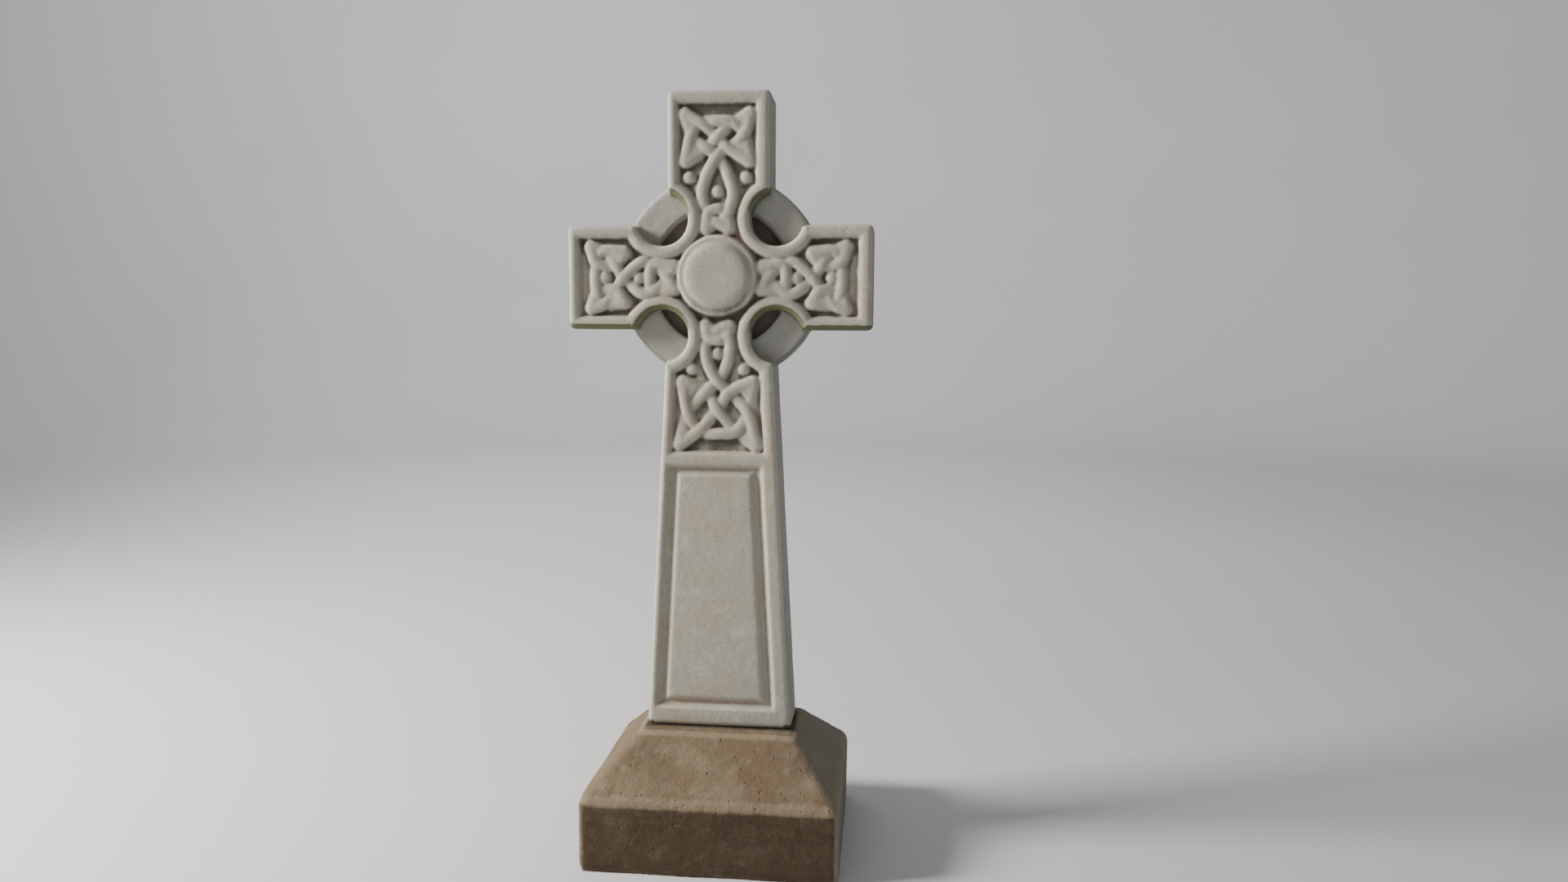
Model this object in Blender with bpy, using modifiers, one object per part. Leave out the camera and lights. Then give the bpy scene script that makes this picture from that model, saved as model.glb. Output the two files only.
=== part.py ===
"""Ringed cross memorial: a carved stone cross that stands on a plinth of its own.

The cross is one solid, from its foot to the top of its head, and it rests on the plinth's ledge.
The frame is +Z up with the front towards -Y. The origin is the middle of the plinth's underside.
All sizes are in metres.
"""

import math

import bmesh
import bpy
from mathutils import Matrix, Vector

# Plinth: a block with a sloping top, and a flat ledge that the cross stands on
plinth_width = 0.515
plinth_depth = 0.422
plinth_height = 0.246
plinth_block_height = 0.146
ledge_margin_side = 0.010
ledge_margin_front = 0.033
plinth_edge_radius = 0.009
seat_gap = 0.0003

# Cross: its outline from the front, and its thickness
cross_height = 1.281
head_height = 0.919
arm_span = 0.610
arm_height = 0.206
top_arm_width = 0.205
shaft_width_at_head = 0.201
shaft_width_at_foot = 0.301
cross_thickness = 0.112
edge_radius = 0.010

# Round hollows where the arms meet
hollow_radius = 0.052
hollow_offset = 0.115
hollow_steps = 13

# Ring between the arms, and the thin web that closes it towards the head
ring_radius = 0.207
ring_inner_radius = 0.137
ring_thickness = 0.056
ring_edge_radius = 0.009
web_thickness = 0.020
web_inner_radius = 0.095
ring_steps = 64

# Raised border and the sunk ground of the knotwork
border_width = 0.026
border_roll = 0.009
carving_shift = -0.003
knot_ground_depth = 0.012
shaft_knot_end = 0.348

# Plain sunk panel on the shaft, with a raised field in it
rail_height = 0.034
foot_rail_height = 0.048
panel_shift = -0.006
panel_margin = 0.010
panel_depth = 0.009
panel_groove_width = 0.016
panel_groove_end = 0.011
panel_field_edge = 0.009
panel_field_drop = 0.002

# Boss: a low disc with a round edge, and a smaller disc on it
boss_radius = 0.083
boss_rise = 0.002
boss_roll = 0.007
boss_disc_radius = 0.0645
boss_disc_rise = 0.009
boss_disc_edge = 0.009
boss_steps = 40

# Knotwork: one round band runs through each arm's knot
band_width = 0.0215
band_height = 0.0105
band_dip = 0.0060
band_root = 0.0040
corner_reach = 1.6
corner_swell = 1.7
plain_height_share = 0.9
path_steps = 2
top_neck_share = 0.61
shaft_neck_share = 0.46
side_neck_share = 0.545
top_almond_spread = 0.40
shaft_almond_spread = 0.30
pellet_rise = 0.0090
pellet_radius = 0.0130
pellet_steps = 10

# Back: a shallow sunk ground and a plain low disc
back_ground_depth = 0.004
back_disc_radius = 0.080
back_disc_rise = 0.002

# Heights and faces that follow from the sizes above
foot_z = plinth_height + seat_gap
head_z = foot_z + head_height
top_z = foot_z + cross_height
front_y = -cross_thickness / 2
back_y = cross_thickness / 2
ground_y = front_y + knot_ground_depth
root_y = ground_y + band_root
merge_distance = 0.00001

# Knot of the top arm and the shaft. Along the arm, 0 is the boss's edge, 1 is the neck where the two
# sides of the almond cross, and 2 is the end of the sunk ground. Across, 1 is the ground's half width.
tall_stations = {
    "corner_left": (0.09, -0.34),
    "corner_right": (0.09, 0.34),
    "collar": (0.155, 0.0),
    "collar_left": (0.27, -0.26),
    "collar_right": (0.27, 0.26),
    "collar_middle": (0.33, 0.0),
    "neck": (1.0, 0.0),
    "eye_left": (1.15, -0.27),
    "eye_right": (1.15, 0.27),
    "near_left": (0.95, -0.76),
    "near_right": (0.95, 0.76),
    "middle": (1.40, 0.0),
    "side_left": (1.44, -0.69),
    "side_right": (1.44, 0.69),
    "low_left": (1.70, -0.42),
    "low_right": (1.70, 0.42),
    "band_middle": (1.74, 0.0),
    "far_left": (1.85, -0.82),
    "far_right": (1.85, 0.82),
}
tall_path = (
    "almond_left", "shoulder_left", "neck", "eye_right", "side_right", "far_right", "low_right",
    "middle", "eye_left",
    "near_left", "side_left", "low_left", "band_middle", "low_right", "side_right", "near_right",
    "eye_right", "middle", "low_left", "far_left", "side_left", "eye_left", "neck", "shoulder_right",
    "almond_right", "collar_right", "collar", "corner_left", "collar_left", "collar_middle", "collar_right",
    "corner_right", "collar", "collar_left",
)
tall_corners = ("far_left", "far_right", "near_left", "near_right", "corner_left", "corner_right")
top_pellets = ((0.55, 0.0), (0.725, -0.74), (0.725, 0.74))
shaft_pellets = ((0.55, 0.0), (0.80, -0.62), (0.80, 0.62))

# Knot of the side arms, in the same shares, with up and down across the arm
side_stations = {
    "corner_down": (0.046, -0.35),
    "corner_up": (0.046, 0.35),
    "collar": (0.155, 0.0),
    "collar_down": (0.435, -0.39),
    "collar_up": (0.435, 0.39),
    "collar_middle": (0.50, 0.0),
    "almond_down": (0.66, -0.40),
    "almond_up": (0.66, 0.40),
    "neck": (1.0, 0.0),
    "eye_down": (1.167, -0.31),
    "eye_up": (1.167, 0.31),
    "near_down": (0.99, -0.64),
    "near_up": (0.99, 0.64),
    "side_down": (1.456, -0.69),
    "side_up": (1.456, 0.69),
    "outer_down": (1.61, -0.38),
    "outer_up": (1.61, 0.38),
    "bar_middle": (1.64, 0.0),
    "far_down": (1.73, -0.78),
    "far_up": (1.73, 0.78),
}
side_path = (
    "almond_up", "neck", "eye_down", "side_down", "far_down", "outer_down", "eye_down", "near_down",
    "side_down", "outer_down", "bar_middle", "outer_up", "side_up", "near_up", "eye_up", "outer_up",
    "far_up", "side_up", "eye_up", "neck", "almond_down", "collar_down", "collar", "corner_up",
    "collar_up", "collar_middle", "collar_down", "corner_down", "collar", "collar_up",
)
side_corners = ("far_down", "far_up", "near_down", "near_up", "corner_down", "corner_up")
side_pellets = ((0.70, 0.0), (1.42, 0.0))


def clear_scene():
    """Remove the objects that the scene starts with."""
    for old in list(bpy.data.objects):
        bpy.data.objects.remove(old)


def new_collection(name):
    """Add a collection to the scene."""
    collection = bpy.data.collections.new(name)
    bpy.context.scene.collection.children.link(collection)
    return collection


def stone(name, colour, roughness):
    """Return a plain material for one kind of stone."""
    material = bpy.data.materials.new(name)
    material.use_nodes = True
    shader = material.node_tree.nodes["Principled BSDF"]
    shader.inputs["Base Color"].default_value = (*colour, 1.0)
    shader.inputs["Roughness"].default_value = roughness
    shader.inputs["Metallic"].default_value = 0.0
    return material


def add_object(name, mesh, collection):
    """Put a mesh in the scene as an object of a collection."""
    item = bpy.data.objects.new(name, mesh)
    collection.objects.link(item)
    return item


def add_guide(name, mesh):
    """Add a shape that only cuts or joins another one."""
    item = add_object(name, mesh, guides)
    item.hide_render = True
    item.display_type = "WIRE"
    return item


def finish_mesh(builder, name):
    """Close a bmesh into a mesh with its faces pointing out."""
    bmesh.ops.remove_doubles(builder, verts=builder.verts[:], dist=merge_distance)
    bmesh.ops.recalc_face_normals(builder, faces=builder.faces[:])
    mesh = bpy.data.meshes.new(name)
    builder.to_mesh(mesh)
    builder.free()
    return mesh


def evaluated_mesh(item):
    """Return an object's mesh with its modifiers applied, in world space, and drop the object."""
    bpy.context.view_layer.update()
    graph = bpy.context.evaluated_depsgraph_get()
    mesh = bpy.data.meshes.new_from_object(item.evaluated_get(graph))
    mesh.transform(item.matrix_world)
    bpy.data.objects.remove(item)
    builder = bmesh.new()
    builder.from_mesh(mesh)
    return finish_mesh(builder, mesh.name)


def loft(name, rings, closed=False):
    """Join rings of points, which all have the same count, into one closed skin."""
    builder = bmesh.new()
    rows = [[builder.verts.new(point) for point in ring] for ring in rings]
    count = len(rows[0])
    pairs = list(zip(rows, rows[1:]))
    if closed:
        pairs.append((rows[-1], rows[0]))
    for first, second in pairs:
        for i in range(count):
            j = (i + 1) % count
            builder.faces.new((first[i], first[j], second[j], second[i]))
    if not closed:
        builder.faces.new(rows[0])
        builder.faces.new(rows[-1])
    return finish_mesh(builder, name)


def turned(name, profile, closed, steps):
    """Turn a profile of (radius, height towards the front) points around the head's Y axis."""
    builder = bmesh.new()
    points = [builder.verts.new((radius, 0.0, height)) for radius, height in profile]
    for first, second in zip(points, points[1:]):
        builder.edges.new((first, second))
    if closed:
        builder.edges.new((points[-1], points[0]))
    mesh = bpy.data.meshes.new(name)
    builder.to_mesh(mesh)
    builder.free()
    item = add_object(name, mesh, guides)
    item.rotation_euler = (math.radians(90.0), 0.0, 0.0)
    item.location = (0.0, 0.0, head_z)
    screw = item.modifiers.new("turn", "SCREW")
    screw.steps = steps
    screw.render_steps = steps
    screw.use_merge_vertices = True
    screw.merge_threshold = merge_distance
    return evaluated_mesh(item)


def plate(name, outline, thickness):
    """Make an upright plate from an outline of (x, z) points."""
    curve = bpy.data.curves.new(name, "CURVE")
    curve.dimensions = "2D"
    curve.fill_mode = "BOTH"
    curve.extrude = thickness / 2
    spline = curve.splines.new("POLY")
    spline.points.add(len(outline) - 1)
    for point, (x, z) in zip(spline.points, outline):
        point.co = (x, z, 0.0, 1.0)
    spline.use_cyclic_u = True
    item = add_object(name, curve, guides)
    item.rotation_euler = (math.radians(90.0), 0.0, 0.0)
    mesh = evaluated_mesh(item)
    builder = bmesh.new()
    builder.from_mesh(mesh)
    bmesh.ops.dissolve_limit(
        builder, angle_limit=math.radians(1.0), verts=builder.verts[:], edges=builder.edges[:]
    )
    return finish_mesh(builder, name)


def bevel(item, width, segments, degrees):
    """Round the edges of an object that are sharper than an angle."""
    modifier = item.modifiers.new("round edges", "BEVEL")
    modifier.width = width
    modifier.segments = segments
    modifier.limit_method = "ANGLE"
    modifier.angle_limit = math.radians(degrees)


def boolean(item, operand, operation, crosses_itself=False):
    """Cut or join another shape into an object."""
    modifier = item.modifiers.new(operand.name, "BOOLEAN")
    modifier.object = operand
    modifier.operation = operation
    modifier.solver = "EXACT"
    modifier.use_self = crosses_itself


def shaft_half_width(z):
    """Return half the shaft's width at a height."""
    share = (head_z - z) / head_height
    return ((1 - share) * shaft_width_at_head + share * shaft_width_at_foot) / 2


def line_meets_circle(point, direction, centre, radius, side):
    """Return the angle at which a line meets a circle, on the side that the line points to or from."""
    start = Vector(point) - Vector(centre)
    way = Vector(direction).normalized()
    middle = start.dot(way)
    reach = math.sqrt(max(middle * middle - start.dot(start) + radius * radius, 0.0))
    hit = start + way * (side * reach - middle)
    return math.atan2(hit.y, hit.x)


def arc(centre, radius, start, end, steps):
    """Return the points of an arc from one angle to another."""
    angles = [start + (end - start) * i / steps for i in range(steps + 1)]
    return [(centre[0] + radius * math.cos(a), centre[1] + radius * math.sin(a)) for a in angles]


def half_outline(inset, shift, bottom_z):
    """Return the right half of the cross's outline, drawn in by an inset, from the bottom to the top."""
    radius = hollow_radius + inset
    arm_end = arm_span / 2 - inset + shift
    arm_edge = arm_height / 2 - inset
    top_edge = top_arm_width / 2 - inset + shift
    foot_x = shaft_half_width(bottom_z) - inset + shift
    head_x = shaft_half_width(head_z) - inset + shift
    low = (hollow_offset, head_z - hollow_offset)
    high = (hollow_offset, head_z + hollow_offset)
    shaft_way = (head_x - foot_x, head_z - bottom_z)
    shaft_angle = line_meets_circle((foot_x, bottom_z), shaft_way, low, radius, -1)
    low_angle = line_meets_circle((arm_end, head_z - arm_edge), (1.0, 0.0), low, radius, 1)
    high_angle = line_meets_circle((arm_end, head_z + arm_edge), (1.0, 0.0), high, radius, 1)
    top_angle = line_meets_circle((top_edge, top_z), (0.0, 1.0), high, radius, 1)
    turn = 2 * math.pi
    points = [(foot_x, bottom_z)]
    points += arc(low, radius, shaft_angle % turn, low_angle, hollow_steps)
    points += [(arm_end, head_z - arm_edge), (arm_end, head_z + arm_edge)]
    points += arc(high, radius, high_angle + turn, top_angle % turn, hollow_steps)
    points += [(top_edge, top_z - inset)]
    return points


def cross_outline(inset, shift, bottom_z):
    """Return the cross's whole outline, drawn in by an inset."""
    right = half_outline(inset, shift, bottom_z)
    left = [(-x, z) for x, z in reversed(half_outline(inset, -shift, bottom_z))]
    return right + left


def shaft_outline(inset, top, bottom):
    """Return the outline of the shaft's panel, drawn in by an inset."""
    corners = []
    for side, z in ((1, bottom), (1, top), (-1, top), (-1, bottom)):
        half = shaft_half_width(z) - inset
        corners.append((side * half + panel_shift, z))
    return corners


def ring_of(outline, y):
    """Lay an outline of (x, z) points in an upright plane."""
    return [(x, y, z) for x, z in outline]


def make_body():
    """Make the cross's plain body, with its edges rounded."""
    mesh = plate("body", cross_outline(0.0, 0.0, foot_z), cross_thickness)
    item = add_object("ringed_cross", mesh, parts)
    bevel(item, edge_radius, 2, 60.0)
    return item


def flare_levels(depth):
    """Return the (depth, inset) levels of a cutter whose flare rounds the border's inner edge."""
    return (
        (-border_roll, -border_roll),
        (border_roll * 0.15, -border_roll * 0.6),
        (border_roll * 0.6, -border_roll * 0.15),
        (depth, border_roll * 0.25),
    )


def make_knot_ground():
    """Make the cutter of the sunk ground behind the knotwork."""
    bottom = head_z - shaft_knot_end
    rings = []
    for depth, more in flare_levels(knot_ground_depth):
        outline = cross_outline(border_width + more, carving_shift, bottom + more)
        rings.append(ring_of(outline, front_y + depth))
    return add_guide("knot_ground", loft("knot_ground", rings))


def make_panel_ground():
    """Make the cutter of the shaft's plain panel."""
    top = head_z - shaft_knot_end - rail_height
    bottom = foot_z + foot_rail_height
    rings = []
    for depth, more in flare_levels(panel_depth):
        outline = shaft_outline(border_width + panel_margin + more, top - more, bottom + more)
        rings.append(ring_of(outline, front_y + depth))
    return add_guide("panel_ground", loft("panel_ground", rings))


def make_panel_field():
    """Make the raised field of the shaft's plain panel, with its soft edge."""
    top = head_z - shaft_knot_end - rail_height - panel_groove_end
    bottom = foot_z + foot_rail_height + panel_groove_end
    inset = border_width + panel_margin + panel_groove_width
    height = panel_depth - panel_field_drop
    levels = (
        (-band_root, 0.0),
        (0.0, 0.0),
        (height * 0.7, panel_field_edge * 0.3),
        (height, panel_field_edge),
    )
    rings = []
    for rise, more in levels:
        outline = shaft_outline(inset + more, top - more, bottom + more)
        rings.append(ring_of(outline, front_y + panel_depth - rise))
    return add_guide("panel_field", loft("panel_field", rings))


def make_ring():
    """Make the ring, with its rounded edges and the web inside it."""
    half = ring_thickness / 2
    web = web_thickness / 2
    edge = ring_edge_radius
    soft = edge * 0.3
    profile = [
        (web_inner_radius, web),
        (ring_inner_radius, web),
        (ring_inner_radius, half - edge / 2),
        (ring_inner_radius + edge / 2, half),
        (ring_radius - edge, half),
        (ring_radius - soft, half - soft),
        (ring_radius, half - edge),
    ]
    profile += [(radius, -height) for radius, height in reversed(profile)]
    return add_guide("ring", turned("ring", profile, True, ring_steps))


def make_boss():
    """Make the boss, rooted in the sunk ground."""
    base = -front_y
    top = base + boss_disc_rise
    step = base + boss_rise
    disc = boss_disc_radius
    profile = [
        (0.0, top),
        (disc - boss_disc_edge, top),
        (disc - boss_disc_edge * 0.3, top - boss_disc_edge * 0.3),
        (disc, step - boss_roll * 0.4),
        (disc + boss_roll * 0.4, step),
        (boss_radius - boss_roll, step),
        (boss_radius - boss_roll * 0.3, step - boss_roll * 0.3),
        (boss_radius, step - boss_roll),
        (boss_radius, -root_y),
        (0.0, -root_y),
    ]
    mesh = turned("boss", profile, False, boss_steps)
    mesh.transform(Matrix.Translation((carving_shift, 0.0, 0.0)))
    return add_guide("boss", mesh)


def make_back_ground():
    """Make the cutter of the back's shallow ground, which leaves a plain border."""
    bottom = foot_z + foot_rail_height
    levels = ((-border_roll, -border_roll), (back_ground_depth, border_roll * 0.6))
    rings = []
    for depth, more in levels:
        outline = cross_outline(border_width + more, 0.0, bottom + more)
        rings.append(ring_of(outline, back_y - depth))
    return add_guide("back_ground", loft("back_ground", rings))


def make_back_disc():
    """Make the plain low disc on the back."""
    top = -back_y - back_disc_rise
    root = -back_y + back_ground_depth + band_root
    profile = [
        (0.0, root),
        (back_disc_radius, root),
        (back_disc_radius, top + back_disc_rise),
        (back_disc_radius - back_disc_rise, top),
        (0.0, top),
    ]
    return add_guide("back_disc", turned("back_disc", profile, False, boss_steps))


def knot_frame(way, across, end, neck_share, half_width):
    """Return a function that turns a knot's shares into (x, z) on the front of the cross."""
    start = boss_radius
    neck = start + (end - start) * neck_share

    def place(along, over):
        if along <= 1.0:
            distance = start + (neck - start) * along
        else:
            distance = neck + (end - neck) * (along - 1.0)
        spot = Vector(way) * distance + Vector(across) * (over * half_width(distance))
        return Vector((spot.x + carving_shift, spot.y + head_z))

    return place


def knot_heights(path):
    """Return the band's top over the ground at each station: over and under by turns at crossings."""
    heights = []
    crossings = 0
    for name in path:
        if path.count(name) == 1:
            heights.append(band_height * plain_height_share)
            continue
        dips = crossings % 2 == 1
        heights.append(band_height - band_dip if dips else band_height)
        crossings += 1
    return heights


def corner_room(before, corner, after):
    """Return how fast the room beside a band grows with the distance from a pointed corner."""
    return math.tan((before - corner).angle(after - corner) / 2)


def knot_samples(place, stations, path, corners, steps):
    """Return points along a closed band, each with its height and the swell of its width.

    Near a pointed corner the band swells only as far as the two sides of the corner stay apart.
    """
    spots = [place(*stations[name]) for name in path]
    heights = knot_heights(path)
    count = len(path)
    samples = []
    for i in range(count):
        j = (i + 1) % count
        start, end = spots[i], spots[j]
        beyond = spots[(j + 1) % count]
        leave = end - start if path[i] in corners else (end - spots[i - 1]) / 2
        arrive = end - start if path[j] in corners else (beyond - start) / 2
        samples.append((start, heights[i], 1.0))
        for k in range(1, steps):
            t = k / steps
            point = (
                start * (2 * t**3 - 3 * t**2 + 1)
                + leave * (t**3 - 2 * t**2 + t)
                + end * (3 * t**2 - 2 * t**3)
                + arrive * (t**3 - t**2)
            )
            mix = (1 - math.cos(math.pi * t)) / 2
            swell = 1.0
            room = corner_swell
            if path[i] in corners:
                swell += (corner_swell - 1.0) * (1.0 - mix)
                growth = corner_room(spots[i - 1], start, end)
                room = (point - start).length * growth / (band_width / 2)
            if path[j] in corners:
                swell += (corner_swell - 1.0) * mix
                growth = corner_room(start, end, beyond)
                room = (point - end).length * growth / (band_width / 2)
            if room < 1.0:
                continue
            height = heights[i] * (1 - mix) + heights[j] * mix
            samples.append((point, height, min(swell, room * 0.95)))
    return samples


def band_section(spot, side, reach, height):
    """Return the cross-section of the band at one point: a low rounded ridge."""
    half = band_width / 2
    shape = ((-1.0, -band_root), (-0.75, height * 0.7), (0.0, height))
    shape += tuple((-across, rise) for across, rise in reversed(shape[:2]))
    ring = []
    for across, rise in shape:
        point = spot + side * (across * half * reach)
        ring.append((point.x, ground_y - rise, point.y))
    return ring


def make_knot(name, place, stations, path, corners):
    """Make one knot as a closed band that runs over and under itself."""
    samples = knot_samples(place, stations, path, corners, path_steps)
    rings = []
    count = len(samples)
    for i in range(count):
        spot, height, swell = samples[i]
        before = (spot - samples[i - 1][0]).normalized()
        after = (samples[(i + 1) % count][0] - spot).normalized()
        way = (before + after).normalized()
        side = Vector((-way.y, way.x))
        reach = 1.0 / max(way.dot(before), 0.01)
        rings.append(band_section(spot, side, min(reach, corner_reach) * swell, height))
    return add_guide(name, loft(name, rings, closed=True))


def make_pellet(name, spot):
    """Make a small round pellet on the ground of a knot."""
    builder = bmesh.new()
    bmesh.ops.create_uvsphere(builder, u_segments=pellet_steps, v_segments=6, radius=pellet_radius)
    squash = Matrix.Diagonal((1.0, 1.0, pellet_rise / pellet_radius, 1.0))
    upright = Matrix.Rotation(math.radians(90.0), 4, "X")
    place = Matrix.Translation((spot.x, ground_y, spot.y))
    bmesh.ops.transform(builder, matrix=place @ upright @ squash, verts=builder.verts[:])
    return add_guide(name, finish_mesh(builder, name))


def with_almond(stations, spread):
    """Add the sides of the almond to the stations of a tall knot."""
    shoulder = spread * 0.72
    return dict(
        stations,
        almond_left=(0.50, -spread),
        almond_right=(0.50, spread),
        shoulder_left=(0.74, -shoulder),
        shoulder_right=(0.74, shoulder),
    )


def carve_knots(body):
    """Join the four knots and their pellets to the cross."""
    top_half = top_arm_width / 2 - border_width
    side_half = arm_height / 2 - border_width
    top_end = top_z - border_width - head_z
    side_end = arm_span / 2 - border_width
    top_place = knot_frame((0, 1), (1, 0), top_end, top_neck_share, lambda distance: top_half)
    shaft_place = knot_frame(
        (0, -1), (1, 0), shaft_knot_end, shaft_neck_share,
        lambda distance: shaft_half_width(head_z - distance) - border_width,
    )
    left_place = knot_frame((-1, 0), (0, 1), side_end, side_neck_share, lambda distance: side_half)
    right_place = knot_frame((1, 0), (0, 1), side_end, side_neck_share, lambda distance: side_half)
    top_stations = with_almond(tall_stations, top_almond_spread)
    shaft_stations = with_almond(tall_stations, shaft_almond_spread)
    knots = (
        ("top_knot", top_place, top_stations, tall_path, tall_corners, top_pellets),
        ("shaft_knot", shaft_place, shaft_stations, tall_path, tall_corners, shaft_pellets),
        ("left_knot", left_place, side_stations, side_path, side_corners, side_pellets),
        ("right_knot", right_place, side_stations, side_path, side_corners, side_pellets),
    )
    for name, place, stations, path, corners, pellets in knots:
        knot = make_knot(name, place, stations, path, corners)
        boolean(body, knot, "UNION", crosses_itself=True)
        for number, share in enumerate(pellets, 1):
            boolean(body, make_pellet(f"{name}_pellet_{number}", place(*share)), "UNION")


def make_cross(material):
    """Make the cross as one solid."""
    body = make_body()
    boolean(body, make_ring(), "UNION")
    boolean(body, make_knot_ground(), "DIFFERENCE")
    boolean(body, make_panel_ground(), "DIFFERENCE")
    boolean(body, make_panel_field(), "UNION")
    boolean(body, make_back_ground(), "DIFFERENCE")
    boolean(body, make_back_disc(), "UNION")
    carve_knots(body)
    boolean(body, make_boss(), "UNION")
    body.data.materials.append(material)
    return body


def make_plinth(material):
    """Make the plinth: a block whose top slopes in to the ledge under the cross."""
    ledge_width = shaft_width_at_foot + 2 * ledge_margin_side
    ledge_depth = cross_thickness + 2 * ledge_margin_front
    builder = bmesh.new()
    bmesh.ops.create_cube(builder, size=1.0)
    size = Matrix.Diagonal((plinth_width, plinth_depth, plinth_block_height, 1.0))
    lift = Matrix.Translation((0.0, 0.0, plinth_block_height / 2))
    bmesh.ops.transform(builder, matrix=lift @ size, verts=builder.verts[:])
    top = max(builder.faces, key=lambda face: face.calc_center_median().z)
    slope = bmesh.ops.extrude_discrete_faces(builder, faces=[top])
    ledge = slope["faces"][0]
    narrow = Matrix.Diagonal((ledge_width / plinth_width, ledge_depth / plinth_depth, 1.0, 1.0))
    rise = Matrix.Translation((0.0, 0.0, plinth_height - plinth_block_height))
    bmesh.ops.transform(builder, matrix=rise @ narrow, verts=ledge.verts[:])
    item = add_object("plinth", finish_mesh(builder, "plinth"), parts)
    bevel(item, plinth_edge_radius, 3, 20.0)
    item.data.materials.append(material)
    return item


clear_scene()
parts = new_collection("ringed_cross_memorial")
guides = new_collection("guides")
make_cross(stone("pale_stone", (0.36, 0.34, 0.29), 0.75))
make_plinth(stone("brown_sandstone", (0.14, 0.10, 0.06), 0.85))
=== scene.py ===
"""Looks of the ringed cross memorial: weathered pale stone, standing on a worn sandstone plinth.

The file is laid out as a Blender add-on. Each piece and the stage has its own operator, and main()
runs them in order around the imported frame. All sizes are in metres, with +Z up and the front at -Y.
"""

import math

import bmesh
import bpy
import numpy as np
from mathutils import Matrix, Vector
from mathutils.bvhtree import BVHTree


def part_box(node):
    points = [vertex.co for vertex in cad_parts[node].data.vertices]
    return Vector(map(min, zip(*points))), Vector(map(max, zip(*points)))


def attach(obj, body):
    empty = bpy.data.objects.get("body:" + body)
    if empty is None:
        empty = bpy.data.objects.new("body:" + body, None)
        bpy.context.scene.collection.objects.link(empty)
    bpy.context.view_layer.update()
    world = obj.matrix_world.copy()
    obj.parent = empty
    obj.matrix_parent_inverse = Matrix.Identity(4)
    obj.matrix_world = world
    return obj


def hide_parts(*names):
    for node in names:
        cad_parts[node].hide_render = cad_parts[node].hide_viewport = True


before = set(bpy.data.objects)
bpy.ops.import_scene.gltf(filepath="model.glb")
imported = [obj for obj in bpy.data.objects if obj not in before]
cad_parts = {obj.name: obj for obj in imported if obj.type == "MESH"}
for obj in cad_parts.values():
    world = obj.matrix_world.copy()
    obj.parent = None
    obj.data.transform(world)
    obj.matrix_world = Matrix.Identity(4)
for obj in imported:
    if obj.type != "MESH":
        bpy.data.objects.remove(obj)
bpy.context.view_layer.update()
cross_low, cross_high = (Vector(corner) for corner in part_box("ringed_cross"))
plinth_low, plinth_high = (Vector(corner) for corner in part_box("plinth"))

bl_info = {
    "name": "Ringed Cross Memorial",
    "version": (1, 0, 0),
    "blender": (4, 5, 0),
    "location": "View3D > Sidebar > Memorial",
    "description": "Builds the weathered stone of a ringed cross memorial around its frame",
    "category": "Object",
}

# Knots of the front. Along an arm, 0 is the boss's edge, 1 is the neck where the sides of the almond
# cross, and 2 is the end of the sunk ground. Across it, 1 is the ground's half width. A place on the
# middle line gives the first share alone, and the others come in mirrored pairs.
TALL_MIDDLE = {"collar": 0.155, "collar_middle": 0.33, "neck": 1.0, "middle": 1.40, "band_middle": 1.74}
TALL_PAIRS = {
    "corner": (0.09, 0.29), "collar": (0.27, 0.26), "eye": (1.15, 0.27), "side": (1.44, 0.69),
    "low": (1.70, 0.42), "far": (1.89, 0.84),
}
TALL_PATH = (
    "almond_left", "shoulder_left", "neck", "eye_right", "side_right", "far_right", "low_right",
    "middle", "eye_left", "near_left", "side_left", "low_left", "band_middle", "low_right",
    "side_right", "near_right", "eye_right", "middle", "low_left", "far_left", "side_left",
    "eye_left", "neck", "shoulder_right", "almond_right", "collar_right", "collar", "corner_left",
    "collar_left", "collar_middle", "collar_right", "corner_right", "collar", "collar_left",
)
SIDE_MIDDLE = {"collar": 0.155, "collar_middle": 0.50, "neck": 1.0, "bar_middle": 1.64}
SIDE_PAIRS = {
    "corner": (0.046, 0.29), "collar": (0.435, 0.34), "almond": (0.66, 0.40), "eye": (1.167, 0.31),
    "near": (0.99, 0.64), "side": (1.456, 0.69), "outer": (1.61, 0.38), "far": (1.73, 0.78),
}
SIDE_PATH = (
    "almond_up", "neck", "eye_down", "side_down", "far_down", "outer_down", "eye_down", "near_down",
    "side_down", "outer_down", "bar_middle", "outer_up", "side_up", "near_up", "eye_up", "outer_up",
    "far_up", "side_up", "eye_up", "neck", "almond_down", "collar_down", "collar", "corner_up",
    "collar_up", "collar_middle", "collar_down", "corner_down", "collar", "collar_up",
)
# Pairs at which the band turns sharply, and the pellets, in the same shares
CORNERS = ("corner", "near", "far")
TOP_PELLETS = ((0.55, 0.0), (0.725, -0.74), (0.725, 0.74))
SHAFT_PELLETS = ((0.55, 0.0), (0.80, -0.62), (0.80, 0.62))
SIDE_PELLETS = ((0.70, 0.0), (1.42, 0.0))

# Where each knot has its neck on the way from the boss to its end, and for the tall knots also half the
# almond's width and the place of the near corners
TOP_NECK, SHAFT_NECK, SIDE_NECK = 0.635, 0.46, 0.545
TOP_ALMOND, SHAFT_ALMOND = (0.40, 0.93), (0.30, 1.01)

# Form of the band's rounded top, and how a corner's pad narrows and sinks away from its tip
BAND_FLATNESS, BAND_SHOULDER = 2.6, 0.55
PAD_WIDTH, PAD_FALL = 0.8, 0.25

# Where the border's roll starts, as a share of the roll, on the front and on the back
FRONT_ROLL_START, BACK_ROLL_START = 0.85, 0.7

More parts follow.
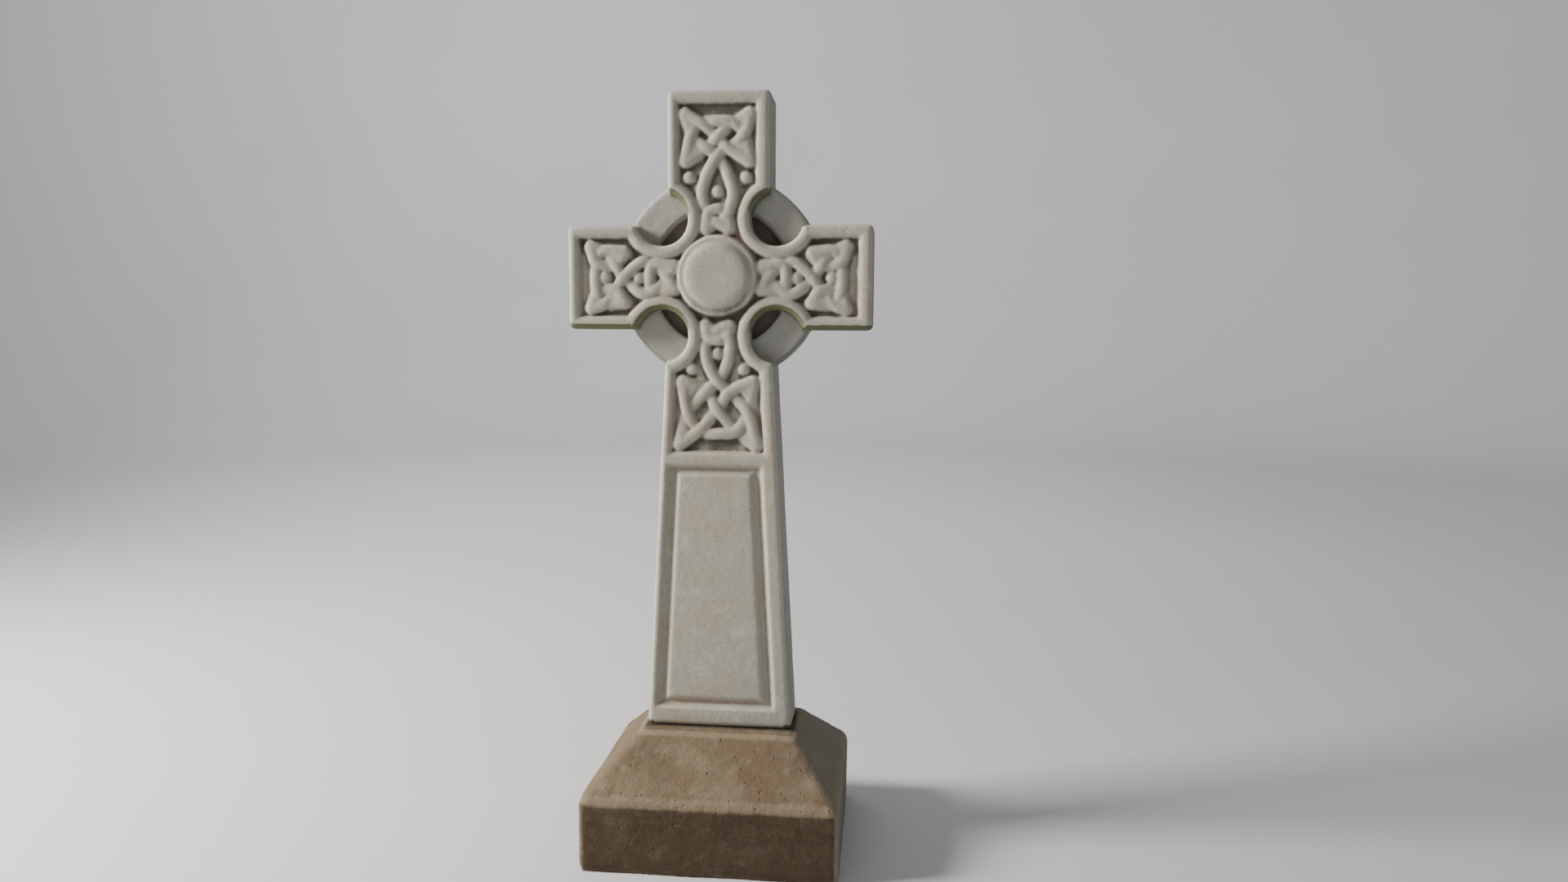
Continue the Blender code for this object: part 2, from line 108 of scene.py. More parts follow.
# Lengths that decide which vertices belong to a face, the ring, its web or the outside, in metres
TOUCH = 0.001
INSET = 1e-5
CARVED_LAYER = 0.012
FRONT_LAYER, BACK_LAYER = 0.016, 0.010
WEB_LAYER = 0.004
OUTER_STRIP, OUTER_LAYER = 0.013, 0.014

# Reach of the marks on the stone, in metres: creases and ridges against the softened relief, ledges looked
# for upwards step by step for the painted shadow under them, rubbing along edges, and the search for
# sheltered places that get dirt and painted shade
CREASE_BLUR, CREASE_DEPTH, RIDGE_HEIGHT = 0.005, 0.0030, 0.0022
LEDGE_STEPS, LEDGE_HEIGHT, LEDGE_REACH = (0.004, 0.008, 0.013, 0.019, 0.027, 0.037), 0.0085, 0.065
EDGE_REACH, RIM_REACH, CORNER_REACH, LEDGE_RUB = 0.008, 0.009, 0.016, 0.012
CROSS_SHELTER, PLINTH_SHELTER, RAY_LIFT = 0.05, 0.03, 0.0004

# Strength of rubbing on the carving's ridges and on the plinth's upright corners, and of growth
# inside the border
RIDGE_RUB, CORNER_RUB, INNER_GROWTH = 0.85, 0.8, 0.15

# Uneven wear of each piece: the pattern's name, size, detail and strength
CROSS_WEAR = (("broad_wear", 0.11, 3, 0.0014), ("small_wear", 0.016, 3, 0.0007))
PLINTH_WEAR = (("plinth_broad_wear", 0.10, 4, 0.0050), ("plinth_small_wear", 0.018, 3, 0.0016))

# Height over each foot in which a worn underside is made flat again, and the angle, in degrees, from
# which an edge is rounded
CROSS_SEAT, PLINTH_SEAT = 0.0015, 0.006
CROSS_SHARP, PLINTH_SHARP = 50.0, 25.0

# Rise and widening of each step of the floor's upturned rim
COVE = ((0.08, 1.07), (0.22, 1.06), (0.45, 1.05), (0.7, 1.04), (1.0, 1.025), (1.5, 1.015), (3.5, 1.01))

# Name, place, target, size, setting of the power, and colour of each light
CROSS_MIDDLE = (0.0, 0.0, 0.8)
LIGHTS = (
    ("key", (-3.6, -0.85, 2.4), CROSS_MIDDLE, 1.1, "key_power", (1.0, 0.97, 0.92)),
    ("front", (-1.0, -3.6, 2.0), CROSS_MIDDLE, 2.4, "fill_power", (1.0, 0.98, 0.95)),
    ("back", (0.6, 3.4, 2.8), CROSS_MIDDLE, 2.5, "fill_power", (0.95, 0.97, 1.0)),
    ("backdrop", (-2.5, 3.5, 5.5), (-1.0, 9.0, 2.2), 3.0, "wall_power", (1.0, 1.0, 1.0)),
)
BLACK = (0.0, 0.0, 0.0)


def number(name, description, default, unit="NONE", **settings):
    """Return a property that holds one number."""
    return bpy.props.FloatProperty(
        name=name, description=description, default=default, unit=unit, **settings
    )


def length(name, description, default):
    """Return a length property in metres."""
    return number(name, description, default, "LENGTH", precision=4)


def share(name, description, default):
    """Return a property from 0 to 1."""
    return number(name, description, default, min=0.0, max=1.0, subtype="FACTOR")


def triangles(default):
    """Return a property for how many triangles a finished piece has."""
    return bpy.props.IntProperty(name="Triangles", description="Of the finished piece", default=default)


def colour(name, description, default):
    """Return a colour property."""
    return bpy.props.FloatVectorProperty(
        name=name, description=description, default=default, size=3, min=0.0, max=1.0, subtype="COLOR"
    )


class CrossSizes(bpy.types.PropertyGroup):
    """Sizes of the cross's plain form."""

    head_height: length("Head height", "From the foot to the middle of the head", 0.919)
    thickness: length("Thickness", "From the border's front to the back", 0.112)
    top_width: length("Top arm width", "Width of the top arm", 0.205)
    arm_height: length("Arm height", "Height of the side arms", 0.206)
    shaft_head_width: length("Shaft at head", "Shaft's width, carried up to the head", 0.201)
    shaft_foot_width: length("Shaft at foot", "Shaft's width at its foot", 0.301)
    hollow_radius: length("Hollow radius", "Radius of the hollows between the arms", 0.052)
    hollow_offset: length("Hollow offset", "From the head's middle to a hollow, across and up", 0.115)
    ring_radius: length("Ring radius", "Outer radius of the ring", 0.207)
    ring_inner: length("Ring inner radius", "Inner radius of the ring", 0.137)
    ring_thickness: length("Ring thickness", "Thickness of the ring", 0.056)
    ring_edge: length("Ring edge", "Rounding of the ring's outer edges", 0.009)
    web_thickness: length("Web thickness", "Stone left at the bottom of the hollows", 0.020)
    edge_radius: length("Edge radius", "Rounding of the outer edges", 0.011)
    voxel: length("Voxel", "Fineness of the carved surface before it is thinned", 0.0019)
    faces: triangles(190000)


class CarvingSizes(bpy.types.PropertyGroup):
    """Sizes of the low relief on the cross."""

    border_width: length("Border width", "Width of the raised border", 0.026)
    border_roll: length("Border roll", "Rounding of the border's inner edge", 0.015)
    ground_depth: length("Ground depth", "Depth of the ground behind the knotwork", 0.0114)
    carving_shift: length("Carving shift", "Carving's place left or right of the middle", -0.003)
    knot_end: length("Shaft knot end", "From the head's middle to the rail under the knot", 0.348)
    top_room: length("Top room", "Bare ground left over the top arm's knot", 0.010)
    rail: length("Rail", "Height of the rail between knot and panel", 0.034)
    foot_rail: length("Foot rail", "Height of the rail under the panel", 0.048)
    panel_shift: length("Panel shift", "Panel's place left or right of the middle", -0.006)
    panel_margin: length("Panel margin", "How much wider the border is beside the panel", 0.010)
    panel_depth: length("Panel depth", "Depth of the groove round the panel's field", 0.011)
    panel_groove: length("Panel groove", "Width of the groove at the sides", 0.002)
    panel_groove_end: length("Panel groove end", "Width of the groove at the top and bottom", 0.004)
    field_edge: length("Field edge", "Width of the field's sharper edges", 0.010)
    panel_slope: length("Panel slope", "Width of the panel's worn slopes that face right", 0.019)
    field_drop: length("Field drop", "Field's face below the border", 0.002)
    panel_wear: length("Panel wear", "Softness of the panel's worn edges", 0.0022)
    boss_radius: length("Boss radius", "Radius of the boss's outer disc", 0.083)
    boss_lift: length("Boss lift", "Boss's middle above the head's middle", 0.003)
    boss_rise: length("Boss rise", "Rise of the outer disc over the border", 0.002)
    boss_roll: length("Boss roll", "Rounding of the outer disc", 0.009)
    disc_radius: length("Disc radius", "Radius of the boss's inner disc", 0.0645)
    disc_rise: length("Disc rise", "Rise of the inner disc over the border", 0.009)
    disc_edge: length("Disc edge", "Rounding of the inner disc", 0.010)
    band_width: length("Band width", "Width of the knotwork's band", 0.0258)
    band_height: length("Band height", "Height of the band over its ground", 0.0103)
    band_dip: length("Band dip", "Drop of the band where it passes under", 0.0060)
    pad_reach: length("Pad reach", "How far the band's corners are filled as pads", 0.035)
    pellet_radius: length("Pellet radius", "Radius of the round pellets", 0.0140)
    pellet_rise: length("Pellet rise", "Height of the round pellets", 0.0090)
    corner_swell: number("Corner swell", "How much wider the band is at its corners", 1.25)
    wear: length("Wear", "Softness of the worn carving", 0.0015)
    back_depth: length("Back depth", "Depth of the back's sunk ground", 0.004)
    back_disc: length("Back disc", "Radius of the plain disc on the back", 0.080)
    back_disc_rise: length("Back disc rise", "Rise of the back's disc over the border", 0.002)


class PlinthSizes(bpy.types.PropertyGroup):
    """Sizes of the plinth that its box doesn't give."""

    block_height: length("Block height", "Height of the upright faces", 0.146)
    ledge_width: length("Ledge width", "Width of the ledge under the cross", 0.321)
    ledge_depth: length("Ledge depth", "Depth of the ledge under the cross", 0.178)
    edge_radius: length("Edge radius", "Rounding of the worn edges", 0.014)
    voxel: length("Voxel", "Fineness of the worn surface before it is thinned", 0.0032)
    faces: triangles(90000)


class StoneColours(bpy.types.PropertyGroup):
    """Colours and wear of the two stones, and the painted shade, shadow and light laid on them."""

    pale: colour("Pale stone", "Clean face of the cross", (0.445, 0.425, 0.355))
    pale_warm: colour("Warm stain", "Warmer patches of the cross", (0.43, 0.375, 0.29))
    pale_cool: colour("Cool stain", "Cooler, greener patches of the cross", (0.40, 0.40, 0.35))
    pale_edge: colour("Worn edge", "Rubbed edges of the cross", (0.66, 0.64, 0.57))
    pale_fleck: colour("Flecks", "Small darker flecks of the cross", (0.33, 0.29, 0.22))
    # Painted shade: the right-facing faces of the cross are laid on darker and cooler
    right_side_shade: colour("Right sides", "Cooler stone of the cross's right faces", (0.29, 0.31, 0.29))
    # Ring: a cooler tone of stone, and painted shade laid over the whole ring
    ring_cool_and_shade: colour("Ring", "Cooler stone of the ring", (0.33, 0.34, 0.33))
    pale_pits: colour("Pits", "Small pits of the cross", (0.16, 0.14, 0.10))
    # Darker stain where little open sky is near: partly dirt, partly painted shade in recesses and between
    # parts
    shelter: colour("Sheltered stain", "Stain where the cross is sheltered", (0.35, 0.30, 0.23))
    drips: colour("Drips", "Streaks on the cross's right faces", (0.15, 0.155, 0.105))
    dirt: colour("Dirt", "Brown dirt in the creases of the carving", (0.22, 0.13, 0.085))
    # Painted shade: a dark colour at the bottom of the hollows, where the deep recesses lie in shade
    web: colour("Hollow dirt", "Dirt at the bottom of the hollows", (0.13, 0.10, 0.08))
    # Painted shadow: a dark colour laid on the ground under the ledges
    ledge_shadow: colour("Soot", "Dark crust under the ledges", (0.055, 0.055, 0.045))
    # Growth: real green growth, laid on dark enough to also paint the shade of down-facing faces and of the
    # ring's sheltered corners
    growth: colour("Growth", "Green growth on damp undersides", (0.075, 0.085, 0.025))
    sandstone: colour("Sandstone", "Plinth's main colour", (0.132, 0.088, 0.050))
    sandstone_dark: colour("Dark sandstone", "Plinth's darker beds and patches", (0.085, 0.060, 0.038))
    # Pale sandstone for the pale beds and rubbed edges, also used as painted light on the upward faces
    sandstone_pale_and_lit: colour("Pale sandstone", "Plinth's rubbed edges and pale beds", (0.30, 0.235, 0.155))
    sandstone_grey: colour("Grey sandstone", "Plinth's small greyish patches", (0.25, 0.24, 0.21))
    # Painted shade: the plinth's upright faces are laid on darker
    sandstone_upright_shade: colour("Upright faces", "Plinth's upright faces", (0.056, 0.040, 0.024))
    # Painted light: the plinth's right face is laid on lighter and greyer, as if lit by the fill
    sandstone_side_light: colour("Plinth side", "Plinth's right face", (0.27, 0.26, 0.23))
    sandstone_pits: colour("Plinth pits", "Small pits of the plinth", (0.04, 0.03, 0.02))
    # Round the foot of the cross: partly dirt in the joint, partly painted shadow on the plinth's top
    joint: colour("Joint", "Dirt round the foot of the cross", (0.05, 0.045, 0.03))
    # Dark colour in the plinth's sheltered places: partly dirt, partly painted shade
    plinth_dirt_and_shade: colour("Plinth dirt", "Dirt in the plinth's dents", (0.05, 0.04, 0.03))
    dirt_amount: share("Dirt amount", "Strength of the dirt in the hollows", 0.75)
    growth_amount: share("Growth amount", "Strength of the green growth", 0.88)


class StageSettings(bpy.types.PropertyGroup):
    """Camera, floor and lights."""

    camera_place: bpy.props.FloatVectorProperty(
        name="Camera place", description="Where the camera stands", subtype="XYZ",
        default=(0.3340, -2.1552, 1.0678),
    )
    camera_turn: bpy.props.FloatVectorProperty(
        name="Camera turn", description="Camera's rotation", subtype="EULER",
        default=(math.radians(83.917), math.radians(-0.327), math.radians(5.536)),
    )
    lens: number("Lens", "Focal length", 24.42, "CAMERA")
    floor: colour("Floor", "Pale floor and backdrop", (0.70, 0.70, 0.71))
    floor_radius: length("Floor radius", "Radius of the round floor", 7.5)
    key_power: number("Key", "Main light, from the left", 370.0, "POWER")
    fill_power: number("Fill", "Lights from the front and from behind", 9.0, "POWER")
    wall_power: number("Wall", "Backdrop's light", 260.0, "POWER")
    sky: number("Sky", "Strength of the room's light", 0.215)


def smooth_step(value):
    """Return an S-curve from 0 to 1."""
    value = np.clip(value, 0.0, 1.0)
    return value * value * (3.0 - 2.0 * value)
def nearness(distance, reach, start=1.3):
    """Return a soft mark that fades out away from an edge."""
    return smooth_step(start - distance / reach)
def head_z():
    """Return the height of the head's middle."""
    return cross_low.z + bpy.context.scene.cross_sizes.head_height


def shaft_half_width(z):
    """Return half the shaft's width at a height."""
    cross = bpy.context.scene.cross_sizes
    down = (head_z() - z) / cross.head_height
    return ((1.0 - down) * cross.shaft_head_width + down * cross.shaft_foot_width) / 2.0


def edge_room(x, z, shift):
    """Return how far a point lies inside the cross's outline; arms and shaft may be shifted sideways."""
    cross = bpy.context.scene.cross_sizes
    middle = head_z()
    half_span = (cross_high.x - cross_low.x) / 2.0
    half_width = np.where(z > middle, cross.top_width / 2.0, shaft_half_width(z))
    upright = np.minimum(half_width - np.abs(x - shift), cross_high.z - z)
    arms = np.minimum(cross.arm_height / 2.0 - np.abs(z - middle), half_span - np.abs(x - shift))
    return np.minimum(np.maximum(upright, arms), hollow_room(x, z))


def hollow_room(x, z):
    """Return how far a point lies outside the nearest of the four hollows."""
    cross = bpy.context.scene.cross_sizes
    across = np.abs(x) - cross.hollow_offset
    up = np.abs(z - head_z()) - cross.hollow_offset
    return np.hypot(across, up) - cross.hollow_radius


def knot_frame(way, across, end, neck_share, half_width):
    """Return a function that turns a knot's shares into a point (x, z) on the front."""
    carving = bpy.context.scene.carving_sizes
    start = carving.boss_radius
    neck = start + (end - start) * neck_share

    def place(along, over):
        distance = start + (neck - start) * along
        if along > 1.0:
            distance = neck + (end - neck) * (along - 1.0)
        spot = np.array(way) * distance + np.array(across) * over * half_width(distance)
        return spot + np.array((carving.carving_shift, head_z()))

    return place


def stations(middle, pairs, first, second):
    """Return a knot's places by name: those on its middle line and those on its two sides."""
    places = {name: (along, 0.0) for name, along in middle.items()}
    for name, (along, over) in pairs.items():
        places[f"{name}_{first}"] = (along, -over)
        places[f"{name}_{second}"] = (along, over)
    return places


def tall_stations(spread, near):
    """Return the places of a tall knot, with the given almond and near corners."""
    pairs = dict(TALL_PAIRS, almond=(0.50, spread), shoulder=(0.74, spread * 0.72), near=(near, 0.83))
    return stations(TALL_MIDDLE, pairs, "left", "right")


def is_corner(name):
    """Tell whether the band turns sharply at a place."""
    return name.rpartition("_")[0] in CORNERS


def knot_route(spots, path, steps=8):
    """Return the closed line that a knot's band follows, as points, heights and half widths."""
    carving = bpy.context.scene.carving_sizes
    tops = []
    crossings = 0
    for name in path:
        top = carving.band_height
        if path.count(name) == 2:
            top -= carving.band_dip * (crossings % 2)
            crossings += 1
        tops.append(top)
    points, heights, widths = [], [], []
    count = len(path)
    for i in range(count):
        j = (i + 1) % count
        first, last = spots[i], spots[j]
        leave = last - first if is_corner(path[i]) else (last - spots[i - 1]) / 2.0
        arrive = last - first if is_corner(path[j]) else (spots[(j + 1) % count] - first) / 2.0
        for k in range(steps):
            t = k / steps
            points.append(
                first * (2 * t**3 - 3 * t**2 + 1)
                + leave * (t**3 - 2 * t**2 + t)
                + last * (3 * t**2 - 2 * t**3)
                + arrive * (t**3 - t**2)
            )
            mix = (1.0 - math.cos(math.pi * t)) / 2.0
            heights.append(tops[i] * (1.0 - mix) + tops[j] * mix)
            swell = 1.0
            for name, near in ((path[i], 1.0 - t), (path[j], t)):
                if is_corner(name):
                    swell += (carving.corner_swell - 1.0) * near**2
            widths.append(carving.band_width / 2.0 * swell)
    return np.array(points), np.array(heights), np.array(widths)


class ReliefMap:
    """Height of the carving over a flat face, worked out on a fine grid of the cross's front or back."""

    step = 0.001
    margin = 0.01

    def __init__(self):
        self.x = np.arange(cross_low.x - self.margin, cross_high.x + self.margin, self.step)
        self.z = np.arange(cross_low.z - self.margin, cross_high.z + self.margin, self.step)
        self.grid_x, self.grid_z = np.meshgrid(self.x, self.z)
        self.height = np.zeros_like(self.grid_x)

    def window(self, low_x, high_x, low_z, high_z):
        """Return the part of the grid that covers a box."""
        columns = slice(*np.searchsorted(self.x, (low_x, high_x)))
        rows = slice(*np.searchsorted(self.z, (low_z, high_z)))
        return rows, columns

    def add_band(self, ground, route):
        """Raise the band of one knot over the sunk ground."""
        points, heights, widths = route
        for i in range(len(points)):
            pair = [i, (i + 1) % len(points)]
            self.add_stroke(ground, points[pair], widths[pair], heights[pair])

    def add_pads(self, ground, route, path):
        """Fill the inside of the knot's corners, which are carved as solid pads."""
        carving = bpy.context.scene.carving_sizes
        points, _, widths = route
        steps = len(points) // len(path)
        for i, name in enumerate(path):
            if not is_corner(name):
                continue
            tip = points[i * steps]
            for k in range(1, steps):
                near = points[i * steps - k]
                far = points[(i * steps + k) % len(points)]
                reach = max(np.hypot(*(near - tip)), np.hypot(*(far - tip)))
                if reach > carving.pad_reach:
                    break
                width = widths[i * steps - k] * PAD_WIDTH
                top = carving.band_height * (1.0 - PAD_FALL * reach / carving.pad_reach)
                self.add_stroke(ground, (near, far), (width, width), (top, top))
    def add_stroke(self, ground, ends, widths, heights):
        """Raise one straight stroke of a rounded band."""
        reach = max(widths)
        low = np.minimum(*ends) - reach
        high = np.maximum(*ends) + reach
        part = self.window(low[0], high[0], low[1], high[1])
        line = ends[1] - ends[0]
        across = self.grid_x[part] - ends[0][0]
        up = self.grid_z[part] - ends[0][1]
        t = np.clip((across * line[0] + up * line[1]) / max(line @ line, 1e-12), 0.0, 1.0)
        away = np.hypot(across - t * line[0], up - t * line[1])
        width = widths[0] + (widths[1] - widths[0]) * t
        top = heights[0] + (heights[1] - heights[0]) * t
        shape = np.clip(1.0 - (away / width) ** BAND_FLATNESS, 0.0, 1.0) ** BAND_SHOULDER
        ground[part] = np.maximum(ground[part], top * shape)

    def add_dome(self, ground, spot, radius, rise):
        """Raise one round pellet over the sunk ground."""
        part = self.window(spot[0] - radius, spot[0] + radius, spot[1] - radius, spot[1] + radius)
        away = np.hypot(self.grid_x[part] - spot[0], self.grid_z[part] - spot[1]) / radius
        ground[part] = np.maximum(ground[part], rise * np.sqrt(np.clip(1.0 - away**2, 0.0, 1.0)))

    def blurred(self, values, radius):
        """Return values softened by a Gaussian of a given radius."""
        reach = max(int(radius / self.step * 3), 1)
        offsets = np.arange(-reach, reach + 1)
        weights = np.exp(-0.5 * (offsets * self.step / radius) ** 2)
        weights /= weights.sum()
        for axis in (0, 1):
            pad = [(0, 0), (0, 0)]
            pad[axis] = (reach, reach)
            wide = np.pad(values, pad, mode="edge")
            size = values.shape[axis]
            total = np.zeros_like(values)
            for k, weight in enumerate(weights):
                total += weight * (wide[k : k + size] if axis == 0 else wide[:, k : k + size])
            values = total
        return values

    def sample(self, values, x, z):
        """Read values off the grid at any points."""
        column = np.clip((x - self.x[0]) / self.step, 0, len(self.x) - 1.001)
        row = np.clip((z - self.z[0]) / self.step, 0, len(self.z) - 1.001)
        left, low = column.astype(int), row.astype(int)
        u, v = column - left, row - low
        bottom = values[low, left] * (1 - u) + values[low, left + 1] * u
        top = values[low + 1, left] * (1 - u) + values[low + 1, left + 1] * u
        return bottom * (1 - v) + top * v


def knots():
    """Return each knot's place function, stations, path and pellets."""
    cross = bpy.context.scene.cross_sizes
    carving = bpy.context.scene.carving_sizes
    border = carving.border_width
    top_end = cross_high.z - border - head_z() - carving.top_room
    side_end = (cross_high.x - cross_low.x) / 2.0 - border

    def top_half(distance):
        return cross.top_width / 2.0 - border

    def side_half(distance):
        return cross.arm_height / 2.0 - border

    def shaft_half(distance):
        return shaft_half_width(head_z() - distance) - border

    top = knot_frame((0, 1), (1, 0), top_end, TOP_NECK, top_half)
    shaft = knot_frame((0, -1), (1, 0), carving.knot_end, SHAFT_NECK, shaft_half)
    side = (stations(SIDE_MIDDLE, SIDE_PAIRS, "down", "up"), SIDE_PATH, SIDE_PELLETS)
    return (
        (top, tall_stations(*TOP_ALMOND), TALL_PATH, TOP_PELLETS),
        (shaft, tall_stations(*SHAFT_ALMOND), TALL_PATH, SHAFT_PELLETS),
        (knot_frame((-1, 0), (0, 1), side_end, SIDE_NECK, side_half), *side),
        (knot_frame((1, 0), (0, 1), side_end, SIDE_NECK, side_half), *side),
    )


def front_relief():
    """Work out the carved front: border, knotwork, boss and the shaft's plain panel."""
    carving = bpy.context.scene.carving_sizes
    relief = ReliefMap()
    x, z = relief.grid_x, relief.grid_z
    room = edge_room(x, z, carving.carving_shift)
    knot_room = np.minimum(room, z - (head_z() - carving.knot_end) + carving.border_width)
    fall = (knot_room - carving.border_width) / carving.border_roll + FRONT_ROLL_START
    sunk = 1.0 - np.sqrt(1.0 - np.clip(fall, 0.0, 1.0) ** 2)
    carved = np.zeros_like(x)
    for place, places, path, pellets in knots():
        route = knot_route([place(*places[name]) for name in path], path)
        relief.add_band(carved, route)
        relief.add_pads(carved, route, path)
        for pellet in pellets:
            relief.add_dome(carved, place(*pellet), carving.pellet_radius, carving.pellet_rise)
    height = np.maximum(-carving.ground_depth * sunk, carved - carving.ground_depth)
    height = np.maximum(height, boss_height(x, z))
    relief.height = height + relief.blurred(panel_height(x, z), carving.panel_wear)
    return relief


def boss_height(x, z):
    """Return the height of the boss: a round-edged disc with a smaller one on it."""
    carving = bpy.context.scene.carving_sizes
    radius = np.hypot(x - carving.carving_shift, z - head_z() - carving.boss_lift)
    disc, edge, roll = carving.disc_radius, carving.disc_edge, carving.boss_roll
    rise, step, rim = carving.disc_rise, carving.boss_rise, carving.boss_radius
    profile = (
        (0.0, rise), (disc * 0.7, rise - 0.0002), (disc - edge, rise - 0.0010),
        (disc - edge * 0.35, rise - edge * 0.28),
        (disc + edge * 0.15, step + 0.0010), (disc + edge * 0.4, step - 0.0014),
        (rim - roll * 1.1, step), (rim - roll * 0.5, step - roll * 0.18), (rim, step - roll * 1.2),
        (rim + 0.001, -carving.ground_depth * 2.0),
    )
    radii, heights = zip(*profile)
    return np.interp(radius, radii, heights)


def panel_height(x, z):
    """Return the height of the shaft's plain panel: a groove round a soft-edged field."""
    carving = bpy.context.scene.carving_sizes
    right = smooth_step(0.5 + (x - carving.panel_shift) / carving.border_width)
    wide, narrow = carving.panel_slope, carving.field_edge
    top = head_z() - carving.knot_end - carving.rail
    bottom = cross_low.z + carving.foot_rail
    border = carving.border_width + carving.panel_margin
    side = shaft_half_width(z) - border - np.abs(x - carving.panel_shift)
    end = np.minimum(top - z, z - bottom)
    roll = wide * (1.0 - right) + narrow * right
    sunk = np.minimum(smooth_step(side / roll + 1.0), smooth_step(end / narrow + 1.0))
    edge = wide * right + narrow * (1.0 - right)
    raised_side = smooth_step((side - carving.panel_groove) / edge)
    raised_end = smooth_step((end - carving.panel_groove_end) / narrow)
    groove = -carving.panel_depth * sunk
    return groove + (carving.panel_depth - carving.field_drop) * np.minimum(raised_side, raised_end)


def back_relief():
    """Work out the plain back: a shallow sunk ground and a low disc."""
    carving = bpy.context.scene.carving_sizes
    relief = ReliefMap()
    x, z = relief.grid_x, relief.grid_z
    roll = carving.border_roll
    room = np.minimum(edge_room(x, z, 0.0), z - cross_low.z - carving.foot_rail + carving.border_width)
    sunk = smooth_step((room - carving.border_width) / roll + BACK_ROLL_START)
    radius = np.hypot(x, z - head_z())
    disc = smooth_step((carving.back_disc - radius) / (roll * 0.5))
    rise = carving.back_disc_rise + carving.back_depth
    relief.height = -carving.back_depth * sunk + disc * rise
    return relief


def deselect_all():
    """Leave nothing selected, because operators act on all that is."""
    if bpy.context.object and bpy.context.object.mode != "OBJECT":
        bpy.ops.object.mode_set(mode="OBJECT")
    bpy.ops.object.select_all(action="DESELECT")


def pick(item):
    """Select one object alone and make it the active one."""
    deselect_all()
    item.select_set(True)
    bpy.context.view_layer.objects.active = item


def apply_modifier(item, kind, **settings):
    """Add a modifier to an object and apply it."""
    pick(item)
    modifier = item.modifiers.new(kind.title(), kind)
    for name, value in settings.items():
        setattr(modifier, name, value)
    bpy.ops.object.modifier_apply(modifier=modifier.name)


def add_block(name, low, high):
    """Add a box between two corners, with its place in its mesh."""
    deselect_all()
    middle = [(a + b) / 2.0 for a, b in zip(low, high)]
    bpy.ops.mesh.primitive_cube_add(size=1.0, location=middle)
    item = bpy.context.object
    item.name = name
    item.scale = [b - a for a, b in zip(low, high)]
    bpy.ops.object.transform_apply(location=True, rotation=True, scale=True)
    return item


def add_drum(name, radius, depth, place, sides=128):
    """Add a cylinder that lies along Y, with its place in its mesh."""
    deselect_all()
    bpy.ops.mesh.primitive_cylinder_add(
        vertices=sides, radius=radius, depth=depth, location=place, rotation=(math.radians(90.0), 0.0, 0.0)
    )
    item = bpy.context.object
    item.name = name
    bpy.ops.object.transform_apply(location=True, rotation=True, scale=True)
    return item


def select_where(item, test):
    """Enter edit mode and select the vertices that pass a test."""
    pick(item)
    bpy.ops.object.mode_set(mode="EDIT")
    bpy.ops.mesh.select_mode(type="VERT")
    bpy.ops.mesh.select_all(action="DESELECT")
    mesh = bmesh.from_edit_mesh(item.data)
    for vert in mesh.verts:
        vert.select = test(vert.co)
    mesh.select_flush(True)
    bmesh.update_edit_mesh(item.data)


def combine(item, tool, operation):
    """Cut or join one object into another, and remove the tool."""
    apply_modifier(item, "BOOLEAN", object=tool, operation=operation, solver="EXACT")
    bpy.data.objects.remove(tool)


def thin_out(item, faces):
    """Thin a mesh to a number of triangles and shade it smooth."""
    item.data.calc_loop_triangles()
    ratio = min(faces / len(item.data.loop_triangles), 1.0)
    apply_modifier(item, "DECIMATE", ratio=ratio)
    pick(item)
    bpy.ops.object.shade_smooth()


def read_vectors(collection, field):
    """Return the vectors of all vertices as an array."""
    vectors = np.zeros(len(collection) * 3)
    collection.foreach_get(field, vectors)
    return vectors.reshape(-1, 3)


def set_points(item, points):
    """Write an object's vertices."""
    item.data.vertices.foreach_set("co", points.ravel())
    item.data.update()


def set_mask(item, name, values):
    """Store one value for each vertex, for the material to read."""
    attribute = item.data.attributes.new(name, "FLOAT", "POINT")
    attribute.data.foreach_set("value", np.clip(values, 0.0, 1.0).astype(np.float32))


def wear_down(item, patterns):
    """Make the surface uneven by cloud patterns, more inwards than outwards."""
    for name, size, depth, strength in patterns:
        texture = bpy.data.textures.new(name, "CLOUDS")
        texture.noise_scale = size
        texture.noise_depth = depth
        texture.noise_basis = "ORIGINAL_PERLIN"
        apply_modifier(
            item, "DISPLACE", texture=texture, texture_coords="LOCAL", direction="NORMAL",
            mid_level=0.6, strength=strength,
        )


def openness(item, points, normals, reach, rays=14):
    """Return how much of the sky over each vertex is free, from 0 to 1, within a short reach."""
    mesh = item.data
    mesh.calc_loop_triangles()
    faces = [tuple(face.vertices) for face in mesh.loop_triangles]
    tree = BVHTree.FromPolygons([tuple(point) for point in points], faces)
    golden = math.pi * (3.0 - math.sqrt(5.0))
    directions = []
    for i in range(rays):
        rise = 1.0 - (i + 0.5) / rays
        out = math.sqrt(1.0 - rise * rise)
        directions.append((math.cos(golden * i) * out, math.sin(golden * i) * out, rise))
    free = np.ones(len(points))
    for index in range(len(points)):
        normal = Vector(normals[index])
        turn = normal.to_track_quat("Z", "Y").to_matrix()
        start = Vector(points[index]) + normal * RAY_LIFT
        hits = 0.0
        for direction in directions:
            found = tree.ray_cast(start, turn @ Vector(direction), reach)
            if found[3] is not None:
                hits += 1.0 - found[3] / reach
        free[index] = 1.0 - hits / rays
    return free


